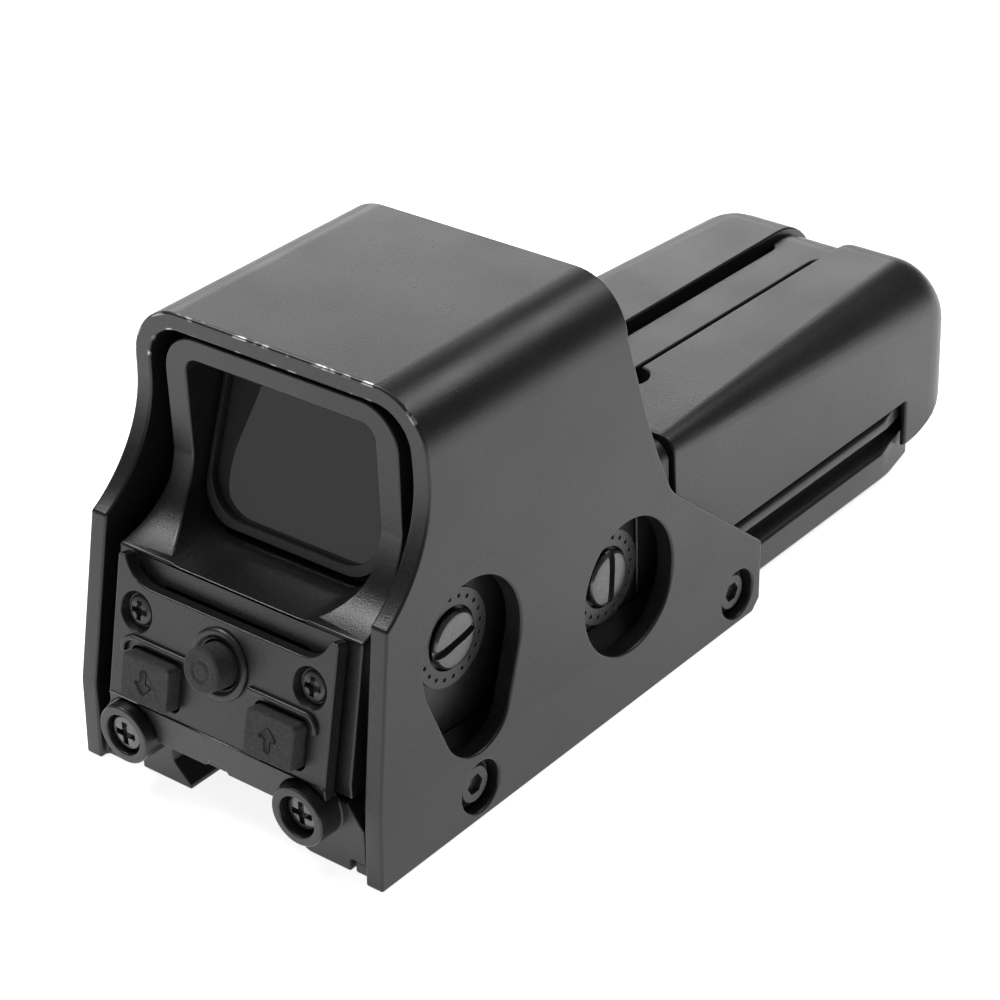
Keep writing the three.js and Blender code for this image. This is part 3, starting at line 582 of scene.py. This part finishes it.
def make_mount_base():
    base = prism("Y", near_base_section(), BASE["near"], BASE["split"])
    bosses = [middle("base_screw_left"), middle("base_screw_right")]
    joined(base, prism("Y", far_base_section(), BASE["split"], BASE["far"]))
    joined(base, *[rod("Y", b.x, b.z, BOSS["radius"], BASE_LOW.y, 1) for b in bosses])
    cut(base, *base_holes(), corner_trim(1), corner_trim(-1), near_toe_trim())
    piece(base, "clamp_base", "sight_body", ["mount_base"], BODY_LOOKS, 0.28)


def jaw_section(outer):
    top, foot = RAIL["roof"] - GAP, RAIL["foot"]
    tooth = [(-TOOTH, foot), (-TOOTH, TOOTH_Z), (-GROOVE, CORNER_Z), (-GROOVE, top)]
    return [(-outer, foot)] + tooth + [(-outer, top)]


def make_movable_jaw():
    low, high = span("movable_jaw")
    jaw = prism("Y", jaw_section(JAW["near_outer"]), low.y, JAW["step"])
    joined(jaw, prism("Y", jaw_section(-low.x), JAW["step"], high.y))
    stud = middle("clamp_stud")
    cut(jaw, rod("X", stud.y, stud.z, STUD["hole"], -25, 0, 32), corner_trim(-1))
    piece(jaw, "clamp_jaw", "jaw", ["movable_jaw"], BODY_LOOKS, 0.28)


def make_clamp_stud():
    """A stud with a chamfered end and a rolled thread under the nut."""
    low, high = span("clamp_stud")
    y, z = middle("clamp_stud")[1:]
    radius, pitch = STUD["radius"], 0.7
    profile = [(0, low.x), (radius - 0.4, low.x), (radius, low.x + 0.5)]
    for turn in range(9):
        crest = low.x + 0.8 + turn * pitch
        profile += [(radius, crest), (STUD["root"], crest + pitch / 2)]
    profile += [(radius, low.x + 8), (radius, high.x), (0, high.x)]
    stud = turned("X", y, z, profile, 40)
    piece(stud, "clamp_bolt", "sight_body", ["clamp_stud"], [steel_black], 0)


def make_clamp_nut():
    """A round knob with rounded lobes for the fingers."""
    low, high = span("clamp_nut")
    y, z = middle("clamp_stud")[1:]
    lobes = []
    lobe_count = 20
    step = 360 // lobe_count
    for i, centre in enumerate(circle(y, z, 5.35, lobe_count)):
        lobes += arc(*centre, 0.42, step * i - 70, step * i + 70, 4)
    knob = joined(prism("X", lobes, low.x, -22.4), rod("X", y, z, 4.6, -22.5, high.x))
    cut(knob, rod("X", y, z, 2.8, low.x - 1, high.x + 1))
    piece(knob, "clamp_knob", "nut", ["clamp_nut"], [steel_black], 0.2, 2)


# ---------------------------------------------------------------- optical housing and windows


def housing_profile():
    """Seen from the side: behind the button panel, up in an S to the window frame, back over the roof."""
    near = [(1, 10.9), (1, 13), (4.7, 30.6)]
    sweep = bezier((4.7, 31.2), (8.4, 32), (13, 34), (14.2, 41), 18)
    far = bezier((52, 50), (54, 44), (55.5, 36), (58, 30), 10)
    return near + sweep + [(14.2, 57.5), (52, 57.5)] + far + [(58, 10.9)]


def housing_section():
    half, frame_half, floor = HOUSING["half"], HOUSING["frame_half"], HOUSING["floor"]
    right = [(half, 10), (half, floor), (frame_half, 37)] + arc(frame_half - 5.5, 52, 5.5, 0, 90)
    return right + mirrored(right)


def make_housing():
    tunnel_half, floor, roof = HOUSING["tunnel_half"], HOUSING["floor"], HOUSING["roof"]
    body = prism("X", housing_profile(), -21, 21)
    common(body, prism("Y", housing_section(), 0, 59))
    tunnel = prism("Y", round_rect(-tunnel_half, tunnel_half, floor, roof, (5.5, 5.5, 2, 2)), -2, 60)
    cuts = [
        block(-17.6, 17.6, 11.4, 56.2, 10, 28.8),  # room for the optics under the tunnel
        block(-16.6, 16.6, -5, 12, 10, 22.4),  # the circuit board's bay behind the panel
        block(-11.9, 11.9, -5, 12, 22, 27.8),  # and the bay's narrower upper part
    ]
    for name in ("elevation", "windage"):
        spot = middle(f"{name}_screw")
        cuts.append(rod("X", spot.y, spot.z, 3, 16, 22, 32))
    for side in (-1, 1):
        tap = rod("Y", side * PANEL_SCREW["x"], PANEL_SCREW["z"], 1.3, 1, 6, 24)
        cuts.append(moved(tap, PANEL_FRAME))
    cut(body, tunnel, *cuts)
    piece(body, "housing", "sight_body", ["optical_housing"], BODY_LOOKS, 0.3)


def make_rear_window():
    half, height = WINDOW["half"], WINDOW["height"]
    radii, opening = (5.6, 5.6, 2, 2), half - 0.7
    ring = prism("Y", round_rect(-half, half, 0, height, radii), 0, 1)
    cut(ring, prism("Y", round_rect(-opening, opening, 1.2, height - 0.6, (6, 6, 3, 3), 12), -1, 2))
    moved(ring, WINDOW_FRAME)
    piece(ring, "rear_glass_ring", "sight_body", ["rear_window_bezel"], [plastic_black], 0.15, 2)
    pane = prism("Y", round_rect(-half, half, 0.2, height - 0.2, radii), 1.3, 2.9)
    moved(pane, WINDOW_FRAME)
    piece(pane, "rear_glass", "sight_body", ["rear_window"], [mirror_glass], 0.1, 2)


def make_front_window():
    low, high = span("front_window_bezel")
    radii, rim = (5, 5, 2, 2), 1.2
    outline = round_rect(low.x, high.x, low.z, high.z, radii)
    ring = prism("Y", outline, low.y, high.y)
    opening = round_rect(low.x + rim, high.x - rim, low.z + rim, high.z - rim, radii)
    cut(ring, prism("Y", opening, low.y - 1, high.y + 1))
    piece(ring, "front_glass_ring", "sight_body", ["front_window_bezel"], [plastic_black], 0.15, 2)
    pane = prism("Y", outline, *[corner.y for corner in span("front_window")])
    piece(pane, "front_glass", "sight_body", ["front_window"], [glass], 0.1, 2)


# ---------------------------------------------------------------- button panel
# Drawn upright in the panel's own frame: x across, y into it, z up its face from the bend.

SQUARE = {"x": 10.45, "z": 4.5, "half_w": 4, "half_h": 3.05, "proud": 2.3}
ROUND = {"z": 10.2, "radius": 2.95, "proud": 3.5}
COLLAR = {"radius": 4.7, "bore": 3.3, "proud": 0.6}
FLANGE = {"near": 2.1, "far": 2.9, "out": 0.7}  # keeps each button behind the panel
MARK_DEPTH = 0.18


def square_outline(side, extra):
    x, z = side * SQUARE["x"], SQUARE["z"]
    half_w, half_h = SQUARE["half_w"] + extra, SQUARE["half_h"] + extra
    return round_rect(x - half_w, x + half_w, z - half_h, z + half_h, (0.7 + extra,) * 4, 6)


def panel_face():
    """The top edge is cut down between two raised ears."""
    half, height, shelf = PANEL["half"], PANEL["height"], 15.8
    ear = [(half, 0), (half, height), (17, height)]
    ear += bezier((17, height), (15.8, 16.4), (14, shelf), (12, shelf), 12)[1:]
    return ear + mirrored(ear)


def guard_outline(side):
    """A ridge over a square button whose outer end curves down beside it."""
    turn_x, turn_z, wide, narrow = 14.4, 7.2, 1.95, 1.2
    start_x, foot_z = 5, 6.6
    outer = arc(turn_x, turn_z, wide, 90, 0, 8) + [(turn_x + wide, foot_z), (turn_x + narrow, foot_z)]
    inner = arc(turn_x, turn_z, narrow, 0, 90, 8) + [(start_x, turn_z + narrow)]
    points = [(start_x, turn_z + wide)] + outer + inner
    return [(side * x, z) for x, z in points]


def make_panel():
    """A leaning face with wells and holes, and below its bend an upright strip with a notch."""
    plate = prism("Y", panel_face(), 0, PANEL["thickness"])
    cuts = [prism("Y", square_outline(side, GAP), -2, 4) for side in (-1, 1)]
    cuts.append(rod("Y", 0, ROUND["z"], ROUND["radius"] + GAP, -2, 4))
    well = [(0, -1), (2.75, -1), (2.65, 0.1), (2.3, 1.2), (0, 1.2)]
    for side in (-1, 1):
        x, z = side * PANEL_SCREW["x"], PANEL_SCREW["z"]
        cuts += [turned("Y", x, z, well, 40), rod("Y", x, z, 1.4, 0, 3, 24)]
    cut(plate, *cuts)
    moved(plate, PANEL_FRAME)
    half, bend_z = PANEL["half"], PANEL["bend_z"]
    strip = [(1.4, 9.2), (1.9, 8.3), (half, 8.3), (half, bend_z + 0.2)]
    joined(plate, prism("Y", strip + mirrored(strip), PANEL["bend_y"], 0.2))
    bosses = [middle("base_screw_left"), middle("base_screw_right")]
    cut(plate, *[rod("Y", b.x, b.z, BOSS["radius"] + GAP, -5, 5) for b in bosses])
    piece(plate, "button_plate", "sight_body", ["button_panel"], BODY_LOOKS, 0.2)


def make_panel_ridges():
    """The collar round the round button and a guard over each square one."""
    outer, bore, proud = COLLAR["radius"], COLLAR["bore"], COLLAR["proud"]
    profile = [(0, 0.4), (outer, 0.4), (outer, 0.3 - proud), (outer - 0.3, -proud)]
    profile += [(outer - 0.8, -proud), (bore + 0.1, -0.2), (0, -0.2)]
    collar = turned("Y", 0, ROUND["z"], profile, 64)
    cut(collar, rod("Y", 0, ROUND["z"], bore, -2, 2, 64))
    moved(collar, PANEL_FRAME)
    piece(collar, "button_collar", "sight_body", ["button_panel"], BODY_LOOKS, 0.12)
    for side, side_name in ((-1, "left"), (1, "right")):
        guard = moved(prism("Y", guard_outline(side), -0.55, 0.4), PANEL_FRAME)
        name = f"button_guard_{side_name}"
        piece(guard, name, "sight_body", ["button_panel"], BODY_LOOKS, 0.24, 4)


def arrow_outline(side):
    """A plain arrow: down on the left button, up on the right one."""
    x, z = side * SQUARE["x"], SQUARE["z"]
    half = [(0.45, -1.6), (0.45, 0.1), (1.5, 0.1), (0, 1.7)]
    arrow = half + [(-u, v) for u, v in reversed(half[:-1])]
    return [(x + u, z + side * v) for u, v in arrow]


def crowned(obj, centre_x, centre_z, front, reach, drop):
    """Lets a flat front face fall away gently from its middle."""
    bm = bmesh.new()
    bm.from_mesh(obj.data)
    for vert in bm.verts:
        if vert.co.y < front + 0.3:
            off = math.hypot(vert.co.x - centre_x, vert.co.z - centre_z) / reach
            vert.co.y += drop * off * off
    bm.to_mesh(obj.data)
    bm.free()
    return obj


def make_square_button(name, side):
    front = -SQUARE["proud"]
    cap = prism("Y", square_outline(side, 0), front, FLANGE["near"])
    joined(cap, prism("Y", square_outline(side, FLANGE["out"]), FLANGE["near"] - 0.05, FLANGE["far"]))
    cut(cap, prism("Y", arrow_outline(side), front - 1, front + MARK_DEPTH))
    moved(crowned(cap, side * SQUARE["x"], SQUARE["z"], front, 4.6, 0.25), PANEL_FRAME)
    piece(cap, f"pad_{name}", f"{name}_button", [f"button_{name}"], [rubber_black], 0.24, 4)


def make_round_button():
    """A round cap with a ring pressed into its face and a flange that keeps it behind the panel."""
    radius, front, edge = ROUND["radius"], -ROUND["proud"], 0.4
    ring, flange = front + MARK_DEPTH, radius + FLANGE["out"]
    profile = [(0, front), (0.9, front), (1.1, ring), (1.4, ring), (1.6, front)]
    profile += [(radius - edge + u, front + edge - v) for u, v in reversed(arc(0, 0, edge, 0, 90, 4))]
    profile += [(radius, FLANGE["near"]), (flange, FLANGE["near"])]
    profile += [(flange, FLANGE["far"]), (0, FLANGE["far"])]
    cap = moved(turned("Y", 0, ROUND["z"], profile), PANEL_FRAME)
    piece(cap, "pad_mode", "mode_button", ["button_mode"], [rubber_black], 0.12, 2)


# ---------------------------------------------------------------- screws and adjusters


def cross_screw(x, z, radius, front, shank_end):
    """A pan head with a cross recess, drawn along y."""
    shank, under = 1, front + 1.1
    profile = [(0, front), (radius * 0.55, front + 0.05), (radius * 0.86, front + 0.25)]
    profile += [(radius, front + 0.65), (radius, under), (shank, under), (shank, shank_end), (0, shank_end)]
    screw = turned("Y", x, z, profile, 40)
    reach, half = radius * 0.62, radius * 0.16
    start, depth = front - 1, front + 0.8
    recess = [
        block(x - reach, x + reach, start, depth, z - half, z + half),
        block(x - half, x + half, start, depth, z - reach, z + reach),
        turned("Y", x, z, [(0, start), (0.8, start), (0.6, depth + 0.05), (0, depth + 0.1)], 24),
    ]
    return cut(screw, *recess)


def hex_screw(name, node, side):
    """A socket head with a chamfered rim and a hexagonal recess, drawn along x."""
    spot = middle(node)
    low, high = span(node)
    head, shank, outer = HOOD_SCREW["head"], HOOD_SCREW["shank"], HOOD_SCREW["head_x"]
    under, chamfer = (HOOD_SCREW["seat_x"] + 0.1) * side, 0.3
    end = low.x if side > 0 else high.x
    profile = [(0, end), (shank, end), (shank, under), (head, under)]
    profile += [(head, (outer - 0.35) * side), (head - chamfer, outer * side), (0, outer * side)]
    screw = turned("X", spot.y, spot.z, profile, 48)
    socket = circle(spot.y, spot.z, 1.44, 6)
    cut(screw, prism("X", socket, *sided(side, outer - 0.75, outer + 1)))
    piece(screw, name, "sight_body", [node], [steel_black], 0.07, 2)


def make_fasteners():
    """The screws in pairs. The left boss screw stands a little prouder than the right one."""
    for side_name, side, front in (("left", -1, -2.85), ("right", 1, -2.3)):
        boss = middle(f"base_screw_{side_name}")
        screw = cross_screw(boss.x, boss.z, 2.65, front, 6)
        name, node = f"boss_screw_{side_name}", f"base_screw_{side_name}"
        # The boss screws take the lighter copy of the black steel, which is painted light.
        piece(screw, name, "sight_body", [node], [steel_painted_light], 0.08, 2)
        screw = moved(cross_screw(side * PANEL_SCREW["x"], PANEL_SCREW["z"], 2.1, 0.4, 5.4), PANEL_FRAME)
        name, node = f"plate_screw_{side_name}", f"panel_screw_{side_name}"
        piece(screw, name, "sight_body", [node], [steel_black], 0.08, 2)
        for place in ("near", "far"):
            hex_screw(f"socket_screw_{place}_{side_name}", f"hood_screw_{place}_{side_name}", side)


def make_coin_screw(name, slot_tilt):
    """A domed screw with a slot for a coin."""
    node = f"{name}_screw"
    spot = middle(node)
    low, high = span(node)
    shank, under = ADJUSTER["shank"], 20.9
    profile = [(0, low.x), (shank, low.x), (shank, under), (3.7, under), (3.9, 21.1), (3.9, 21.5)]
    profile += [(3.6, 21.9), (2.9, 22.1), (1.5, 22.2), (0, high.x)]
    head = turned("X", spot.y, spot.z, profile)
    slot = block(21.3, 23, -5, 5, -0.55, 0.55)
    moved(slot, Matrix.Translation((0, spot.y, spot.z)) @ Matrix.Rotation(slot_tilt, 4, "X"))
    cut(head, slot)
    # The coin screw takes the lighter copy of the black steel, which is painted light.
    piece(head, f"{name}_coin_screw", f"{name}_adjuster", [node], [steel_painted_light], 0.1, 2)


def make_click_plate(name):
    """A washer with a ring of dimples."""
    node = f"{name}_click_plate"
    spot = middle(f"{name}_screw")
    low, high = span(node)
    plate = rod("X", spot.y, spot.z, ADJUSTER["plate"], low.x, high.x, 64)
    cuts = [rod("X", spot.y, spot.z, ADJUSTER["bore"], low.x - 1, high.x + 1)]
    for y, z in circle(spot.y, spot.z, ADJUSTER["dimples"], 20):
        cuts.append(rod("X", y, z, 0.28, high.x - 0.25, high.x + 1, 12))
    cut(plate, *cuts)
    piece(plate, f"{name}_plate", "sight_body", [node], [steel_black], 0.08, 2)


# ---------------------------------------------------------------- battery compartment


def make_carrier():
    """The block between hood and cap, its seal groove, and the tray that the cells lie in."""
    low, high = span("battery_carrier")
    block_end, tray_start = 65.9, 68.9
    groove_near, groove_far, groove_half = 66.4, 68, 17.6
    carrier = prism("Y", round_rect(-20.3, 20.3, 10.9, 30.7, (0.5, 0.5, 3, 3)), low.y, block_end)
    joined(carrier, block(-18.9, 18.9, block_end - 0.1, tray_start + 0.1, 11.7, 24.2))
    joined(carrier, block(-18.6, 18.6, tray_start, high.y, 10.9, 15.6))
    half = LATCH["half"]
    cuts = [
        block(-half, half, LATCH["near"], LATCH["ridge"], LATCH["floor"], 32),
        block(-half, half, LATCH["ridge"] - 0.1, 67, LATCH["ridge_floor"], 32),
        block(-20, 20, groove_near, groove_far, 22.9, 25),
        block(-20, 20, groove_near, groove_far, 10, 13),
        block(-20, -groove_half, groove_near, groove_far, 10, 25),
        block(groove_half, 20, groove_near, groove_far, 10, 25),
    ]
    for side_name in ("left", "right"):
        cell = middle(f"battery_{side_name}")
        cuts.append(rod("Y", cell.x, cell.z, 7.4, 70.6, 122))
    cut(carrier, *cuts)
    piece(carrier, "cell_carrier", "sight_body", ["battery_carrier"], BODY_LOOKS, 0.3)


def make_cells():
    """Two round cells laid head to tail, each with a rolled sleeve edge and a raised contact."""
    for side_name, forwards in (("left", -1), ("right", 1)):
        node = f"battery_{side_name}"
        low, high = span(node)
        radius = (high.x - low.x) / 2
        centre = (low + high) / 2
        foot, tip = (low.y, high.y) if forwards > 0 else (high.y, low.y)
        rolled = [(0, 0.2), (radius - 1.3, 0.2), (radius - 1.1, 0), (radius - 0.5, 0), (radius, 0.5)]
        head = [(radius, 1.6), (radius - 0.5, 1.1), (radius - 1.4, 1.1), (radius - 1.6, 1.4)]
        head += [(2.9, 1.3), (2.6, 1.1), (2.6, 0.2), (2.4, 0), (0, 0)]
        profile = [(r, foot + forwards * t) for r, t in rolled]
        profile += [(r, tip - forwards * t) for r, t in head]
        cell = turned("Y", centre.x, centre.z, profile, 72)
        piece(cell, f"cell_{side_name}", "sight_body", [node], [cell_sleeve], 0)


def rolled_off(left, radius):
    """How far a rounded end has drawn in, with so much of the length left."""
    past = max(0, radius - left)
    return radius - math.sqrt(radius * radius - past * past)


def cap_ring(y):
    """The cap's outline at one depth: its corners grow rounder, and its far end rolls off."""
    near, far, half = CAP_LOW.y, CAP_HIGH.y, CAP_HIGH.x
    along = (y - near) / (far - near)
    narrow = rolled_off(far - y, CAP_END["side"])
    slope = 0.9 * min(1, max(0, (y - 80) / 48))
    top = CAP_HIGH.z - slope - rolled_off(far - y, CAP_END["top"])
    bottom = CAP_LOW.z + rolled_off(far - y, CAP_END["foot"])
    radius = min(2.6 + 5.4 * along, (top - bottom) / 2 - 0.2)
    outline = round_rect(narrow - half, half - narrow, bottom, top, (0.8, 0.8, radius, radius), 10)
    return [(x, y, z) for x, z in outline]


def cap_rooms():
    """What is cut from the cap: rooms for what it closes over, and finger notches by the lever."""
    near, channel, core = CAP_LOW.y, CHANNEL["half"], CHANNEL["core"]
    rail_half, rail_top = RAIL["half"] + 0.6, RAIL["roof"] + 0.5
    nook_half, bead_room, inner_end = CAP_END["nook_half"], CAP_END["bead_room"], CAP_END["inner"]
    rooms = [
        block(-30, 30, near - 5, inner_end, 0, bead_room),  # over the base's deck
        block(-nook_half, nook_half, 123, BASE["far"] + GAP, 0, bead_room),  # the nook for its far end
        block(-core - 0.1, core + 0.1, 60, 123.4, 10, CHANNEL["ceiling"]),  # between the cells
        block(-channel, channel, 60, 126, CHANNEL["floor"], 40),  # the lever's channel
        block(-channel, channel, 124.8, 145, 16.8, 40),  # and a pocket for its heel
        block(-rail_half, rail_half, 120, 145, 0, rail_top),  # clearance over the rail
    ]
    for side in (-1, 1):
        for outer, floor, ceiling in ((CAP_HIGH.x - 1.6, 10, 26.5), (13.5, 12, 28)):
            x0, x1 = sided(side, core, outer)
            rooms.append(block(x0, x1, 60, 122.6, floor, ceiling))
        rooms.append(rod("Z", side * channel, 77.3, 2.9, 27.4, 40))
    return rooms


def make_cap():
    near, far, foot = CAP_LOW.y, CAP_HIGH.y, CAP_END["foot"]
    stations = [near + (far - foot - near) * i / 8 for i in range(9)]
    stations += [far - foot + foot * math.sin(math.radians(7.5 * i)) for i in range(1, 13)]
    cap = lofted([cap_ring(y) for y in stations])
    pin = middle("lever_pin")
    cut(cap, *cap_rooms(), rod("X", pin.y, pin.z, PIN_HOLE, -6.3, 6.3, 32))
    piece(cap, "cell_cover", "cap", ["battery_cap"], CAP_LOOKS, 0.35)


def make_lever():
    """An arm that stays just below the cap's humps, and a wider heel round the pin."""
    low, high = span("latch_lever")
    pin = middle("lever_pin")
    hook, underside, drop = LATCH["ridge_floor"] + GAP, CHANNEL["floor"] + 0.4, 1
    arm_half, heel_half, end = LEVER_HALF["arm"], LEVER_HALF["heel"], high.z - drop
    arm = [(low.y, hook), (low.y + 1.2, hook), (low.y + 1.6, underside), (127, underside), (127, end)]
    lever = prism("X", arm + [(80, high.z), (low.y, high.z)], -heel_half, heel_half)
    heel_start, heel_centre, heel_radius = 124.9, 128.5, 9.2
    heel = [(heel_start, underside), (127.2, 22), (130, 18.6), (136.6, 19.2)]
    heel += arc(heel_centre, end - heel_radius, heel_radius, 0, 90, 14) + [(heel_start, end)]
    joined(lever, prism("X", heel, -heel_half, heel_half))
    widening = bezier((arm_half, 124.2), (arm_half, 126.4), (heel_half, 125.4), (heel_half, 127.6), 10)
    plan = [(arm_half, low.y - 1)] + widening + [(heel_half, high.y + 1)]
    common(lever, prism("Z", plan + mirrored(plan), 10, 40))
    cut(lever, rod("X", pin.y, pin.z, PIN_HOLE, -6, 6, 32))
    piece(lever, "release_lever", "lever", ["latch_lever"], CAP_LOOKS, 0.3)


# ---------------------------------------------------------------- floor, lights, camera


def distance_from_middle(tree):
    where = tree.nodes.new("ShaderNodeTexCoord")
    length = tree.nodes.new("ShaderNodeVectorMath")
    length.operation = "LENGTH"
    tree.links.new(where.outputs["Object"], length.inputs[0])
    return length.outputs["Value"]


def make_floor():
    """White paper that glows with painted light, strongly round the object and dimmer further off."""
    mesh = bpy.data.meshes.new("floor")
    reach, level = 6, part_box("mount_base")[0][2] - RAIL["foot"] * MM
    corners = [(reach * x, reach * y, level) for x, y in ((-1, -1), (1, -1), (1, 1), (-1, 1))]
    mesh.from_pydata(corners, [], [(0, 1, 2, 3)])
    floor = bpy.data.objects.new("floor", mesh)
    bpy.context.collection.objects.link(floor)
    material, tree, shader = new_look("paper", (0.93, 0.93, 0.93), 0.9)
    tone = ranged(tree, noise(tree, 30, 3), 0, 1)
    shade = mixed_colour(tree, tone, (0.92, 0.92, 0.92), (0.94, 0.94, 0.94))
    tree.links.new(shade, shader.inputs["Base Color"])
    # Painted light: the paper glows, most strongly round the object, which lightens the shadows there.
    shader.inputs["Emission Color"].default_value = (1, 1, 1, 1)
    painted_glow = ranged(tree, distance_from_middle(tree), 0.85, 0.1, 0.25, 0.8)
    tree.links.new(painted_glow, shader.inputs["Emission Strength"])
    mesh.materials.append(material)


def softbox(name, direction, distance, width, height, radiance):
    """An area light that faces the object and is as bright as asked, seen from it."""
    light = bpy.data.lights.new(name, "AREA")
    light.shape = "RECTANGLE"
    light.size, light.size_y = width, height
    light.energy = radiance * math.pi * width * height
    lamp = bpy.data.objects.new(name, light)
    back = Vector(direction).normalized()
    lamp.location = back * distance
    lamp.rotation_mode = "QUATERNION"
    lamp.rotation_quaternion = back.to_track_quat("Z", "Y")
    bpy.context.collection.objects.link(lamp)


def towards(azimuth, elevation):
    """A direction, with azimuth from +y towards +x, in degrees."""
    a, e = math.radians(azimuth), math.radians(elevation)
    return (math.sin(a) * math.cos(e), math.cos(a) * math.cos(e), math.sin(e))


def make_lights():
    """Softboxes overhead, on the left and at the far right. The dark gaps show in the round edges."""
    world = bpy.data.worlds.new("studio")
    world.use_nodes = True
    world.node_tree.nodes["Background"].inputs["Color"].default_value = (0.14, 0.14, 0.145, 1)
    bpy.context.scene.world = world
    softbox("key", towards(-101, 56), 0.9, 0.32, 0.32, 10)
    softbox("overhead", towards(-90, 80), 1.0, 1.0, 1.0, 0.9)
    softbox("front_left", towards(-146, 6), 1.3, 1.0, 0.5, 0.5)
    softbox("back_left", towards(-42, 20), 1.2, 0.8, 0.44, 2.8)
    softbox("kicker", towards(32, 56), 0.27, 0.12, 0.07, 4.6)


def make_camera():
    """The photo's own view, fitted to the outlines of the hood."""
    azimuth, elevation, roll = 39.84, 30.14, math.radians(-2.15)
    camera = bpy.data.objects.new("camera", bpy.data.cameras.new("camera"))
    camera.data.sensor_width = 36
    camera.data.lens = 107.05
    back = Vector(towards(180 - azimuth, elevation))
    camera.rotation_mode = "QUATERNION"
    turn = Matrix.Rotation(roll, 3, back) @ back.to_track_quat("Z", "Y").to_matrix()
    camera.rotation_quaternion = turn.to_quaternion()
    camera.location = (0.2213, -0.2722, 0.2143)
    camera.data.clip_start, camera.data.clip_end = 0.01, 20
    bpy.context.collection.objects.link(camera)
    bpy.context.scene.camera = camera


# ---------------------------------------------------------------- assembly


def dress_carried_nodes():
    """Gives each CAD node that still shows the looks of its slot."""
    slots = {
        "cap_seal": "rubber", "keypad_membrane": "rubber", "circuit_board": "circuit_board",
        "contact_left": "brass", "contact_right": "brass", "cap_contact": "brass",
        "lever_pin": "black_steel",
        "windage_carriage": "moulded", "elevation_carriage": "moulded",
        "collimator_lens": "coated_glass", "led_emitter": "brass",
    }
    slots.update({f"switch_dome_{key}": "bare_steel" for key in ("down", "up", "mode")})
    for node, slot_name in slots.items():
        obj = frame["nodes"][node]
        obj.data.materials.clear()
        obj.data.materials.append(CARRIED_LOOKS[slot_name])


make_camera()
make_floor()
make_lights()
make_hood()
make_housing()
make_rear_window()
make_front_window()
make_panel()
make_panel_ridges()
make_square_button("down", -1)
make_square_button("up", 1)
make_round_button()
make_mount_base()
make_movable_jaw()
make_clamp_stud()
make_clamp_nut()
make_fasteners()
for adjuster, slot_tilt in (("elevation", 8), ("windage", 85)):
    make_coin_screw(adjuster, math.radians(slot_tilt))
    make_click_plate(adjuster)
make_carrier()
make_cells()
make_cap()
make_lever()
dress_carried_nodes()
bpy.context.scene.view_settings.view_transform = "Standard"
